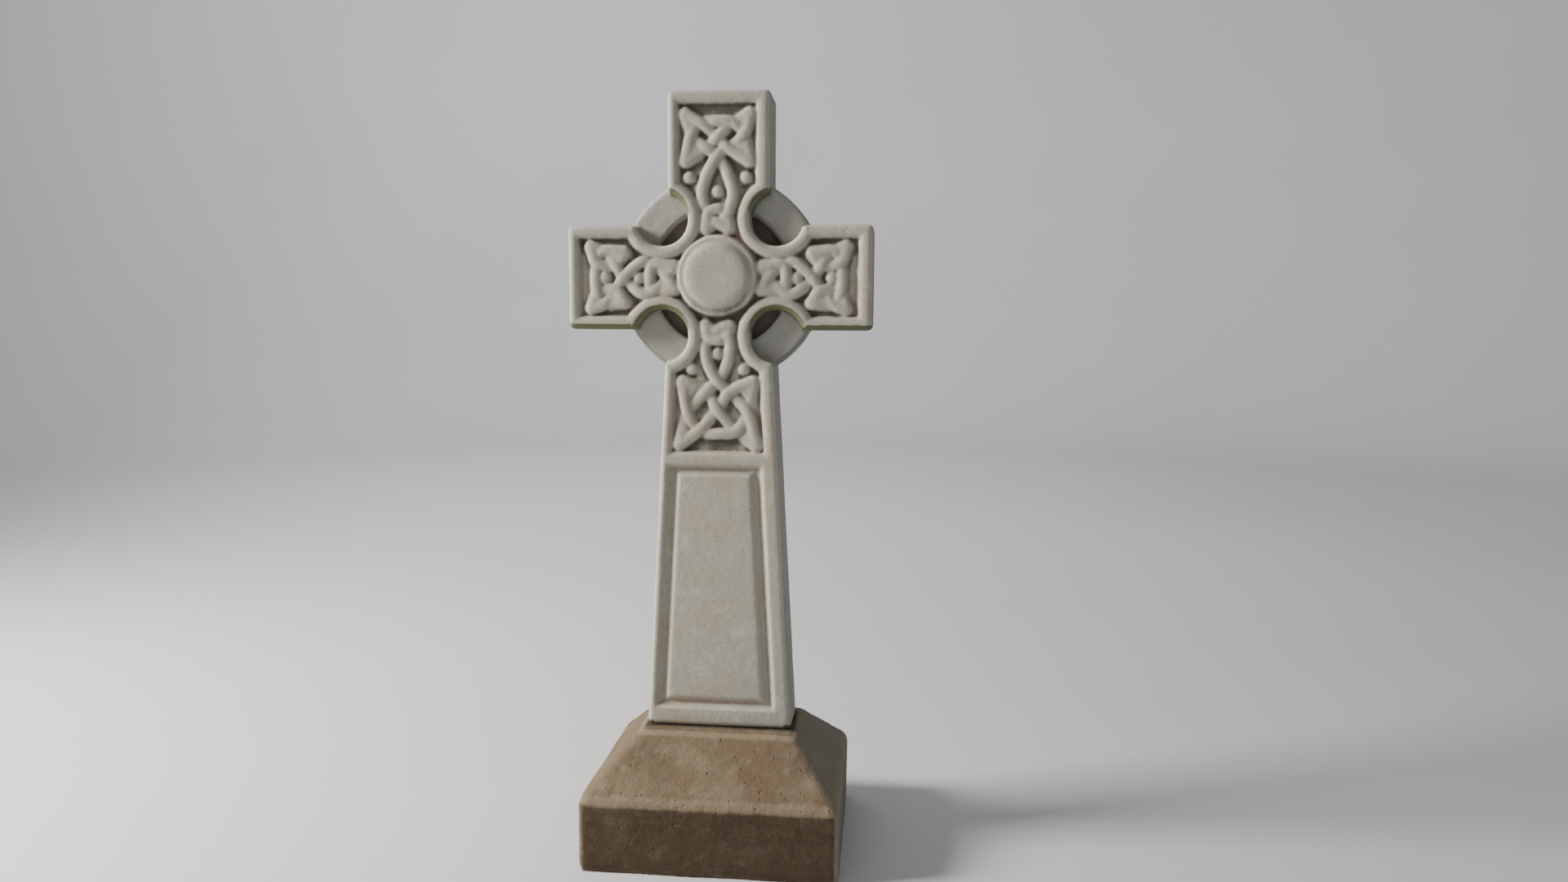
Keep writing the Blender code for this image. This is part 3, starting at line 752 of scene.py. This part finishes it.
def plain_cross():
    """Model the cross's plain form: shaft, arms and hollows, with the ring let in between them."""
    cross = bpy.context.scene.cross_sizes
    middle = head_z()
    half = cross.thickness / 2.0
    shaft_half, top_half = cross.shaft_head_width / 2.0, cross.top_width / 2.0
    arm_half = cross.arm_height / 2.0
    body = add_block("weathered_cross", (-shaft_half, -half, cross_low.z), (shaft_half, half, middle))
    select_where(body, lambda spot: spot.z < cross_low.z + TOUCH)
    widen = cross.shaft_foot_width / cross.shaft_head_width
    bpy.ops.transform.resize(value=(widen, 1.0, 1.0))
    bpy.ops.object.mode_set(mode="OBJECT")
    blocks = (
        ("top", (-top_half, -half, middle), (top_half, half, cross_high.z)),
        ("arms", (cross_low.x, -half, middle - arm_half), (cross_high.x, half, middle + arm_half)),
    )
    for block in blocks:
        combine(body, add_block(*block), "UNION")
    for side in (-1.0, 1.0):
        for level in (-1.0, 1.0):
            spot = (side * cross.hollow_offset, 0.0, middle + level * cross.hollow_offset)
            hollow = add_drum("hollow", cross.hollow_radius, cross.thickness * 2.0, spot, 96)
            combine(body, hollow, "DIFFERENCE")
    round_edges(body, cross.edge_radius, CROSS_SHARP, False)
    combine(body, plain_ring(), "UNION")
    return body


def plain_ring():
    """Model the ring: a round-edged disc, sunk on both sides down to a thin web."""
    cross = bpy.context.scene.cross_sizes
    middle = (0.0, 0.0, head_z())
    ring = add_drum("ring", cross.ring_radius, cross.ring_thickness, middle)
    depth = (cross.ring_thickness - cross.web_thickness) / 2.0
    for side in (-1.0, 1.0):
        spot = (0.0, side * (cross.web_thickness / 2.0 + depth), head_z())
        combine(ring, add_drum("sinking", cross.ring_inner, depth * 2.0, spot), "DIFFERENCE")
    round_edges(ring, cross.ring_edge, CROSS_SHARP, False)
    return ring


def round_edges(item, radius, angle, clamp):
    """Round the edges of an object that are sharper than an angle in degrees."""
    apply_modifier(
        item, "BEVEL", width=radius, segments=3, limit_method="ANGLE", angle_limit=math.radians(angle),
        use_clamp_overlap=clamp,
    )


def remesh(item, size):
    """Rebuild a surface with even faces of a given size."""
    apply_modifier(item, "REMESH", mode="VOXEL", voxel_size=size, use_smooth_shade=True)


def carve(item, front, back):
    """Push the plain front and back into relief."""
    layer = bpy.context.scene.cross_sizes.thickness / 2.0 - CARVED_LAYER
    points = read_vectors(item.data.vertices, "co")
    for relief, side in ((front, -1.0), (back, 1.0)):
        chosen = points[:, 1] * side > layer
        points[chosen, 1] += side * relief.sample(relief.height, points[chosen, 0], points[chosen, 2])
    set_points(item, points)


def keep_inside(item, low, high, seat):
    """Keep a worn surface inside its box, and its foot flat."""
    points = np.clip(read_vectors(item.data.vertices, "co"), np.array(low) + INSET, np.array(high) - INSET)
    foot = points[:, 2] < low.z + seat
    points[foot, 2] = low.z
    set_points(item, points)


def mark_relief(item, relief, chosen, marks):
    """Work out creases, rubbed ridges and the painted shadow under ledges on the front or the back."""
    x, _, z = read_vectors(item.data.vertices, "co")[chosen].T
    soft = relief.blurred(relief.height, CREASE_BLUR)
    lower = relief.sample(soft - relief.height, x, z)
    height = relief.sample(relief.height, x, z)
    ledge = np.zeros(chosen.sum())
    for reach in LEDGE_STEPS:
        wall = relief.sample(relief.height, x, z + reach) - height
        ledge = np.maximum(ledge, wall / LEDGE_HEIGHT * (1.0 - reach / LEDGE_REACH))
    marks["fine"][chosen] = np.clip(lower / CREASE_DEPTH, 0.0, 1.0)
    marks["rub"][chosen] = np.clip(-lower / RIDGE_HEIGHT, 0.0, 1.0)
    # Painted shadow on the ground under ledges, kept to the knots above the panel
    marks["under"][chosen] = ledge * (z > head_z() - bpy.context.scene.carving_sizes.knot_end)


def mark_cross(item, front, back):
    """Store where dirt, growth and rubbing show on the cross, and where painted shadow and painted shade go.
    """
    cross = bpy.context.scene.cross_sizes
    points = read_vectors(item.data.vertices, "co")
    normals = read_vectors(item.data.vertex_normals, "vector")
    x, y, z = points.T
    half = cross.thickness / 2.0
    marks = {name: np.zeros(len(points)) for name in ("fine", "rub", "under")}
    mark_relief(item, front, y < -half + FRONT_LAYER, marks)
    mark_relief(item, back, y > half - BACK_LAYER, marks)
    room = edge_room(x, z, 0.0)
    outer = nearness(np.maximum(np.abs(room), half - np.abs(y)), EDGE_REACH, 1.25)
    radius = np.hypot(x, z - head_z())
    rim = np.minimum(np.abs(radius - cross.ring_radius), np.abs(radius - cross.ring_inner))
    ring_half = cross.ring_thickness / 2.0
    ring_depth = np.abs(np.abs(y) - ring_half)
    ring = (np.abs(y) < ring_half + TOUCH) & (room < TOUCH)
    rim = nearness(np.maximum(rim, ring_depth), RIM_REACH, 1.2) * ring
    marks["rub"] = np.maximum(np.maximum(marks["rub"] * RIDGE_RUB, outer), rim)
    # Sheltered places, found by rays cast over each vertex: they get dirt and painted shade
    marks["shelter"] = 1.0 - openness(item, points, normals, CROSS_SHELTER)
    marks["ring"] = ring.astype(float)
    # The bottom of the hollows, where painted shade goes
    web = ring & (radius < cross.ring_inner + TOUCH) & (np.abs(y) < ring_half - WEB_LAYER)
    marks["web"] = web.astype(float)
    outside = (room < OUTER_STRIP) | (np.abs(y) < half - OUTER_LAYER)
    marks["outside"] = np.where(outside, 1.0, INNER_GROWTH)
    for name, values in marks.items():
        set_mask(item, name, values)


class MEMORIAL_OT_cross(bpy.types.Operator):
    """Model the carved, weathered cross in place of the frame's plain one"""

    bl_idname = "memorial.cross"
    bl_label = "Ringed Cross"

    def execute(self, context):
        cross = context.scene.cross_sizes
        wear = context.scene.carving_sizes.wear
        item = plain_cross()
        remesh(item, cross.voxel)
        front, back = front_relief(), back_relief()
        for relief in (front, back):
            relief.height = relief.blurred(relief.height, wear)
        carve(item, front, back)
        remesh(item, cross.voxel)
        wear_down(item, CROSS_WEAR)
        thin_out(item, cross.faces)
        keep_inside(item, cross_low, cross_high, CROSS_SEAT)
        mark_cross(item, front, back)
        item.data.materials.clear()
        item.data.materials.append(pale_stone())
        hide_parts("ringed_cross")
        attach(item, "root")
        return {"FINISHED"}


class MEMORIAL_OT_plinth(bpy.types.Operator):
    """Model the worn sandstone plinth in place of the frame's plain one"""

    bl_idname = "memorial.plinth"
    bl_label = "Plinth"

    def execute(self, context):
        sizes = context.scene.plinth_sizes
        low, high = plinth_low, plinth_high
        item = add_block("worn_plinth", low, (high.x, high.y, low.z + sizes.block_height))
        pick(item)
        bpy.ops.object.mode_set(mode="EDIT")
        bpy.ops.mesh.select_all(action="DESELECT")
        bpy.ops.mesh.select_mode(type="FACE")
        mesh = bmesh.from_edit_mesh(item.data)
        for face in mesh.faces:
            face.select = face.normal.z > 0.9
        bmesh.update_edit_mesh(item.data)
        rise = high.z - low.z - sizes.block_height
        bpy.ops.mesh.extrude_region_move(TRANSFORM_OT_translate={"value": (0.0, 0.0, rise)})
        across = sizes.ledge_width / (high.x - low.x)
        deep = sizes.ledge_depth / (high.y - low.y)
        bpy.ops.transform.resize(value=(across, deep, 1.0))
        bpy.ops.object.mode_set(mode="OBJECT")
        round_edges(item, sizes.edge_radius, PLINTH_SHARP, True)
        remesh(item, sizes.voxel)
        wear_down(item, PLINTH_WEAR)
        thin_out(item, sizes.faces)
        keep_inside(item, low, high, PLINTH_SEAT)
        mark_plinth(item)
        item.data.materials.clear()
        item.data.materials.append(brown_sandstone())
        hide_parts("plinth")
        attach(item, "root")
        return {"FINISHED"}


def mark_plinth(item):
    """Store where dirt, rubbing, painted shade and painted shadow show on the plinth."""
    sizes = bpy.context.scene.plinth_sizes
    cross = bpy.context.scene.cross_sizes
    points = read_vectors(item.data.vertices, "co")
    normals = read_vectors(item.data.vertex_normals, "vector")
    x, y, z = points.T
    across = plinth_high.x - np.abs(x)
    deep = plinth_high.y - np.abs(y)
    upright = nearness(np.maximum(across, deep), CORNER_REACH)
    shoulder = nearness(np.maximum(np.minimum(across, deep), np.abs(z - sizes.block_height)), CORNER_REACH)
    ledge_across = np.abs(np.abs(x) - sizes.ledge_width / 2.0)
    ledge_deep = np.abs(np.abs(y) - sizes.ledge_depth / 2.0)
    on_top = nearness(plinth_high.z - z, LEDGE_RUB)
    ledge = nearness(np.minimum(ledge_across, ledge_deep), LEDGE_RUB) * on_top
    past_x = np.maximum(np.abs(x) - cross.shaft_foot_width / 2.0, 0.0)
    past_y = np.maximum(np.abs(y) - cross.thickness / 2.0, 0.0)
    set_mask(item, "rub", np.maximum(np.maximum(upright * CORNER_RUB, shoulder), ledge))
    # Band round the cross's foot, for dirt and painted shadow
    set_mask(item, "joint", nearness(np.hypot(past_x, past_y), LEDGE_RUB, 1.0) * on_top)
    # Upright faces, which get the painted shade
    set_mask(item, "upright", nearness(np.abs(normals[:, 2]), 0.5))
    # Sheltered places of the plinth, for dirt and painted shade
    set_mask(item, "shelter", 1.0 - openness(item, points, normals, PLINTH_SHELTER, 10))


def add_node(tree, kind, inputs=None, **settings):
    """Add a node, set its options, and set or link its inputs."""
    node = tree.nodes.new(kind)
    for name, value in settings.items():
        setattr(node, name, value)
    for name, value in (inputs or {}).items():
        if isinstance(value, bpy.types.NodeSocket):
            tree.links.new(value, node.inputs[name])
        else:
            node.inputs[name].default_value = value
    return node


def calculate(tree, operation, *values):
    """Return the result of a sum on up to three values."""
    return add_node(tree, "ShaderNodeMath", dict(enumerate(values)), operation=operation).outputs[0]


def noise(tree, place, scale, detail, roughness=0.5, distortion=0.0):
    """Return a noise pattern."""
    return add_node(tree, "ShaderNodeTexNoise", {
        "Vector": place, "Scale": scale, "Detail": detail, "Roughness": roughness, "Distortion": distortion,
    }).outputs["Fac"]


def between(tree, value, low, high, kind="SMOOTHSTEP"):
    """Return how far a value lies between two levels."""
    return add_node(tree, "ShaderNodeMapRange", {
        "Value": value, "From Min": low, "From Max": high,
    }, interpolation_type=kind).outputs["Result"]


def start_group(name, inputs, outputs):
    """Return a new shader group with its inputs and outputs. An input without a value is a vector."""
    tree = bpy.data.node_groups.new(name, "ShaderNodeTree")
    for label, default in inputs.items():
        kind = "NodeSocketVector" if default is None else "NodeSocketFloat"
        socket = tree.interface.new_socket(label, in_out="INPUT", socket_type=kind)
        if default is not None:
            socket.default_value = default
    for label in outputs:
        tree.interface.new_socket(label, in_out="OUTPUT", socket_type="NodeSocketFloat")
    return tree, tree.nodes.new("NodeGroupInput").outputs, tree.nodes.new("NodeGroupOutput").inputs


def patch_group(name):
    """Make the group that lays out cloudy patches between two levels."""
    tree, given, result = start_group(
        name, {"Vector": None, "Scale": 10.0, "Detail": 5.0, "Low": 0.4, "High": 0.6, "Distortion": 0.3},
        ("Mask",),
    )
    cloud = noise(tree, given["Vector"], given["Scale"], given["Detail"], 0.6, given["Distortion"])
    tree.links.new(between(tree, cloud, given["Low"], given["High"]), result["Mask"])
    return tree


def broken_group(name):
    """Make the group that breaks the edge of a stored mask up with noise."""
    tree, given, result = start_group(
        name, {"Mask": 0.0, "Vector": None, "Scale": 40.0, "Breakup": 0.6, "Low": 0.2, "High": 0.8},
        ("Mask",),
    )
    cloud = noise(tree, given["Vector"], given["Scale"], 6.0, 0.65)
    centred = calculate(tree, "SUBTRACT", cloud, 0.5)
    moved = calculate(tree, "MULTIPLY_ADD", centred, given["Breakup"], given["Mask"])
    tree.links.new(between(tree, moved, given["Low"], given["High"]), result["Mask"])
    return tree


def grain_group(name):
    """Make the group for the stone's grain: fine sandy relief, pits and a speckle of colour."""
    inputs = {"Vector": None, "Grain Scale": 420.0, "Lump Scale": 70.0, "Pit Scale": 110.0, "Pit Depth": 0.6}
    tree, given, result = start_group(name, inputs, ("Height", "Speckle", "Pits"))
    place = given["Vector"]
    grain = noise(tree, place, given["Grain Scale"], 3.0, 0.7)
    lump = noise(tree, place, given["Lump Scale"], 6.0, 0.62)
    cells = add_node(tree, "ShaderNodeTexVoronoi", {
        "Vector": place, "Scale": given["Pit Scale"], "Randomness": 1.0,
    }, feature="F1")
    holes = between(tree, cells.outputs["Distance"], 0.30, 0.08)
    where = between(tree, noise(tree, place, given["Lump Scale"], 2.0), 0.50, 0.62)
    pits = calculate(tree, "MULTIPLY", holes, where)
    relief = calculate(tree, "ADD", lump, calculate(tree, "MULTIPLY", grain, 0.35))
    sunk = calculate(tree, "MULTIPLY", pits, given["Pit Depth"])
    tree.links.new(calculate(tree, "SUBTRACT", relief, sunk), result["Height"])
    tree.links.new(between(tree, grain, 0.35, 0.65, "LINEAR"), result["Speckle"])
    tree.links.new(pits, result["Pits"])
    return tree


def place_group(tree, name, make, inputs):
    """Place a shader group, made the first time it is asked for, and set or link its inputs."""
    group = bpy.data.node_groups.get(name) or make(name)
    return add_node(tree, "ShaderNodeGroup", inputs, node_tree=group).outputs


def start_material(name, roughness):
    """Return a new material's tree, its shader and its place in the stone."""
    material = bpy.data.materials.new(name)
    material.use_nodes = True
    tree = material.node_tree
    shader = tree.nodes["Principled BSDF"]
    shader.inputs["Roughness"].default_value = roughness
    shader.inputs["Specular IOR Level"].default_value = 0.25
    place = tree.nodes.new("ShaderNodeTexCoord").outputs["Object"]
    return material, tree, shader, place


def stored(tree, name):
    """Return a mask that is stored on the mesh."""
    return add_node(tree, "ShaderNodeAttribute", attribute_name=name).outputs["Fac"]


def tint(tree, base, top, mask):
    """Lay one colour over another by a mask."""
    mix = add_node(tree, "ShaderNodeMix", {"Factor": mask}, data_type="RGBA")
    for socket, value in ((mix.inputs[6], base), (mix.inputs[7], top)):
        if isinstance(value, bpy.types.NodeSocket):
            tree.links.new(value, socket)
        else:
            socket.default_value = (*value, 1.0)
    return mix.outputs[2]


def patches(tree, place, scale, low, high, detail=5.0, distortion=0.3):
    """Return a mask of cloudy patches."""
    return place_group(tree, "Cloudy Patches", patch_group, {
        "Vector": place, "Scale": scale, "Low": low, "High": high, "Detail": detail,
        "Distortion": distortion,
    })["Mask"]


def broken(tree, mask, place, scale, low, high, breakup=0.6):
    """Return a mask with its edge broken up."""
    return place_group(tree, "Broken Mask", broken_group, {
        "Mask": mask, "Vector": place, "Scale": scale, "Low": low, "High": high, "Breakup": breakup,
    })["Mask"]


def stretched(tree, place, scale):
    """Return the place in the stone, drawn out by a scale."""
    return add_node(tree, "ShaderNodeMapping", {"Vector": place, "Scale": scale}).outputs["Vector"]


def facing(tree, low, high, axis=2):
    """Return a mask of how far the surface faces along an axis, between two levels."""
    normal = add_node(tree, "ShaderNodeNewGeometry").outputs["Normal"]
    parts = add_node(tree, "ShaderNodeSeparateXYZ", {"Vector": normal})
    return between(tree, parts.outputs[axis], low, high)


def finish_stone(tree, shader, base, layers, rough, bump):
    """Lay the colours of a stone over each other, each by its mask and strength, and add the bump."""
    colour = base
    for top, mask, strength in layers:
        colour = tint(tree, colour, top, calculate(tree, "MULTIPLY", mask, strength))
    tree.links.new(colour, shader.inputs["Base Color"])
    source, low, high = rough
    spread = add_node(tree, "ShaderNodeMapRange", {"Value": source, "To Min": low, "To Max": high})
    tree.links.new(spread.outputs["Result"], shader.inputs["Roughness"])
    height, strength, distance = bump
    relief = add_node(tree, "ShaderNodeBump", {"Height": height, "Strength": strength, "Distance": distance})
    tree.links.new(relief.outputs["Normal"], shader.inputs["Normal"])


def pale_stone():
    """Return the cross's material: pale stone with dirt in the creases, growth and rubbed edges, painted
    shadow under the ledges, and painted shade on the right faces, the ring, the hollows and sheltered
    places.
    """
    colours = bpy.context.scene.stone_colours
    material, tree, shader, place = start_material("weathered_pale_stone", 0.82)
    grain = place_group(tree, "Stone Grain", grain_group, {"Vector": place})
    down = stretched(tree, place, (1.0, 1.0, 0.16))
    running = stretched(tree, place, (1.0, 1.0, 0.05))
    rub, shelter, ring = stored(tree, "rub"), stored(tree, "shelter"), stored(tree, "ring")
    # Painted shadow under the ledges, broken up into patches
    shadow = broken(tree, stored(tree, "under"), place, 45.0, 0.22, 0.85, 0.8)
    shadow = calculate(tree, "MULTIPLY", shadow, patches(tree, place, 6.0, 0.22, 0.40, 3.0))
    # Down-facing outer faces: green growth that also paints their shade
    shaded = calculate(tree, "MULTIPLY", facing(tree, 0.12, -0.45), stored(tree, "outside"))
    # Right-facing faces, which get the drips and the painted shade
    right = facing(tree, 0.35, 0.90, 0)
    drips = calculate(tree, "MULTIPLY", patches(tree, running, 45.0, 0.46, 0.66, 3.0), right)
    # The ring's sheltered corners: green growth that also paints the shade there
    corner = calculate(tree, "MULTIPLY", broken(tree, shelter, place, 22.0, 0.42, 0.80, 0.5), ring)
    layers = (
        (colours.pale_warm, patches(tree, place, 7.0, 0.42, 0.64), 0.75),
        (colours.pale_cool, patches(tree, down, 11.0, 0.44, 0.66), 0.80),
        (colours.pale_edge, patches(tree, place, 26.0, 0.52, 0.74), 0.35),
        (colours.pale_fleck, patches(tree, place, 55.0, 0.50, 0.72, 7.0), 0.30),
        (colours.pale_edge, broken(tree, rub, place, 60.0, 0.25, 0.9), 0.60),
        # Dirt and painted shade in sheltered places
        (colours.shelter, broken(tree, shelter, place, 35.0, 0.10, 0.62), 0.65),
        (colours.dirt, broken(tree, stored(tree, "fine"), place, 90.0, 0.30, 1.0, 0.7), colours.dirt_amount),
        (colours.ledge_shadow, shadow, 0.88),
        (colours.growth, broken(tree, shaded, place, 30.0, 0.12, 0.70, 0.7), colours.growth_amount),
        (colours.drips, drips, 0.45),
        # Painted shade on the right-facing faces
        (colours.right_side_shade, right, 0.35),
        # Cooler tone and painted shade on the ring
        (colours.ring_cool_and_shade, ring, 0.50),
        (colours.growth, corner, 0.55),
        # Painted shade at the bottom of the hollows
        (colours.web, broken(tree, stored(tree, "web"), place, 30.0, 0.1, 0.8), 0.80),
        (colours.pale_pits, grain["Pits"], 0.12),
        (BLACK, grain["Speckle"], 0.10),
    )
    finish_stone(tree, shader, colours.pale, layers, (rub, 0.88, 0.74), (grain["Height"], 0.55, 0.0022))
    return material


def brown_sandstone():
    """Return the plinth's material: mottled sandstone, bedded on its upright faces, with painted shade on
    the upright faces, painted light on the right face and the top faces, and painted shadow round the
    cross's foot.
    """
    colours = bpy.context.scene.stone_colours
    material, tree, shader, place = start_material("worn_brown_sandstone", 0.88)
    grain = place_group(tree, "Stone Grain", grain_group, {
        "Vector": place, "Grain Scale": 300.0, "Lump Scale": 46.0, "Pit Scale": 80.0, "Pit Depth": 0.8,
    })
    upright = stored(tree, "upright")
    beds = patches(tree, stretched(tree, place, (0.12, 0.12, 1.0)), 60.0, 0.45, 0.62, 6.0)
    layers = (
        (colours.sandstone_pale_and_lit, patches(tree, place, 9.0, 0.44, 0.70, 8.0), 0.45),
        (colours.sandstone_dark, patches(tree, place, 11.0, 0.46, 0.66, 8.0, 0.8), 0.55),
        (colours.sandstone_dark, calculate(tree, "MULTIPLY", beds, upright), 0.60),
        (colours.sandstone_grey, patches(tree, place, 34.0, 0.54, 0.70, 6.0), 0.45),
        # Painted shade on the upright faces
        (colours.sandstone_upright_shade, upright, 0.62),
        # Painted light on the right face
        (colours.sandstone_side_light, facing(tree, 0.20, 0.60, 0), 0.62),
        # Painted light on the upward faces
        (colours.sandstone_pale_and_lit, broken(tree, facing(tree, 0.15, 0.9), place, 24.0, 0.3, 1.2, 0.9), 0.30),
        (colours.sandstone_pale_and_lit, broken(tree, stored(tree, "rub"), place, 50.0, 0.35, 1.0, 0.9), 0.70),
        # Dirt and painted shadow round the cross's foot
        (colours.joint, broken(tree, stored(tree, "joint"), place, 60.0, 0.2, 0.9), 0.7),
        # Dirt and painted shade in the plinth's sheltered places
        (colours.plinth_dirt_and_shade, broken(tree, stored(tree, "shelter"), place, 40.0, 0.25, 0.8), 0.5),
        (colours.sandstone_pits, grain["Pits"], 0.12),
        (BLACK, grain["Speckle"], 0.12),
    )
    rough, bump = (grain["Speckle"], 0.82, 0.95), (grain["Height"], 0.75, 0.0035)
    finish_stone(tree, shader, colours.sandstone, layers, rough, bump)
    return material


def add_area_light(name, place, target, size, power, tone):
    """Add a soft square light that points at a spot."""
    deselect_all()
    turn = (Vector(target) - Vector(place)).to_track_quat("-Z", "Y").to_euler()
    bpy.ops.object.light_add(type="AREA", location=place, rotation=turn)
    light = bpy.context.object
    light.name = name
    light.data.size = size
    light.data.energy = power
    light.data.color = tone


class MEMORIAL_OT_stage(bpy.types.Operator):
    """Set up the pale floor, the lights and the camera"""

    bl_idname = "memorial.stage"
    bl_label = "Stage"

    def execute(self, context):
        stage = context.scene.stage_settings
        deselect_all()
        bpy.ops.mesh.primitive_circle_add(vertices=128, radius=stage.floor_radius, fill_type="NOTHING")
        floor = context.object
        floor.name = "pale_floor"
        bpy.ops.object.mode_set(mode="EDIT")
        bpy.ops.mesh.select_mode(type="EDGE")
        bpy.ops.mesh.select_all(action="SELECT")
        for rise, widen in COVE:
            bpy.ops.mesh.extrude_region_move(TRANSFORM_OT_translate={"value": (0.0, 0.0, rise)})
            bpy.ops.transform.resize(value=(widen, widen, 1.0))
        bpy.ops.object.mode_set(mode="OBJECT")
        select_where(floor, lambda spot: spot.z < TOUCH)
        bpy.ops.mesh.edge_face_add()
        bpy.ops.mesh.select_all(action="SELECT")
        bpy.ops.mesh.normals_make_consistent(inside=True)
        bpy.ops.object.mode_set(mode="OBJECT")
        bpy.ops.object.shade_smooth_by_angle(angle=math.radians(40.0))
        material, tree, shader, place = start_material("pale_floor", 0.9)
        soft = patches(tree, place, 0.5, 0.3, 0.7, 2.0)
        darker = tuple(value * 0.97 for value in stage.floor)
        tree.links.new(tint(tree, stage.floor, darker, soft), shader.inputs["Base Color"])
        floor.data.materials.append(material)
        for name, place, target, size, power, tone in LIGHTS:
            add_area_light(name, place, target, size, getattr(stage, power), tone)
        world = bpy.data.worlds.new("pale_room")
        world.use_nodes = True
        sky = world.node_tree.nodes["Background"]
        sky.inputs["Color"].default_value = (0.93, 0.96, 1.0, 1.0)
        sky.inputs["Strength"].default_value = stage.sky
        context.scene.world = world
        deselect_all()
        bpy.ops.object.camera_add(location=stage.camera_place, rotation=stage.camera_turn)
        camera = context.object
        camera.data.lens = stage.lens
        camera.data.sensor_width = 36.0
        camera.data.dof.use_dof = False
        context.scene.camera = camera
        return {"FINISHED"}


PROPERTY_GROUPS = (
    ("cross_sizes", CrossSizes, "Cross"),
    ("carving_sizes", CarvingSizes, "Carving"),
    ("plinth_sizes", PlinthSizes, "Plinth"),
    ("stone_colours", StoneColours, "Stone"),
    ("stage_settings", StageSettings, "Stage"),
)
OPERATORS = (MEMORIAL_OT_cross, MEMORIAL_OT_plinth, MEMORIAL_OT_stage)


class MEMORIAL_PT_panel(bpy.types.Panel):
    """List the memorial's sizes, colours and steps in the sidebar"""

    bl_label = "Ringed Cross Memorial"
    bl_idname = "MEMORIAL_PT_panel"
    bl_space_type = "VIEW_3D"
    bl_region_type = "UI"
    bl_category = "Memorial"

    def draw(self, context):
        for attribute, group, label in PROPERTY_GROUPS:
            box = self.layout.box()
            box.label(text=label)
            for name in group.__annotations__:
                box.prop(getattr(context.scene, attribute), name)
        for operator in OPERATORS:
            self.layout.operator(operator.bl_idname)


def register():
    """Register the groups of sizes, the steps and the panel."""
    for attribute, group, _ in PROPERTY_GROUPS:
        bpy.utils.register_class(group)
        setattr(bpy.types.Scene, attribute, bpy.props.PointerProperty(type=group))
    for operator in OPERATORS:
        bpy.utils.register_class(operator)
    bpy.utils.register_class(MEMORIAL_PT_panel)


def unregister():
    """Take the panel, the steps and the groups of sizes away again."""
    bpy.utils.unregister_class(MEMORIAL_PT_panel)
    for operator in reversed(OPERATORS):
        bpy.utils.unregister_class(operator)
    for attribute, group, _ in reversed(PROPERTY_GROUPS):
        delattr(bpy.types.Scene, attribute)
        bpy.utils.unregister_class(group)


def main():
    """Build the memorial around its frame."""
    register()
    bpy.ops.memorial.cross()
    bpy.ops.memorial.plinth()
    bpy.ops.memorial.stage()


if __name__ == "__main__":
    main()
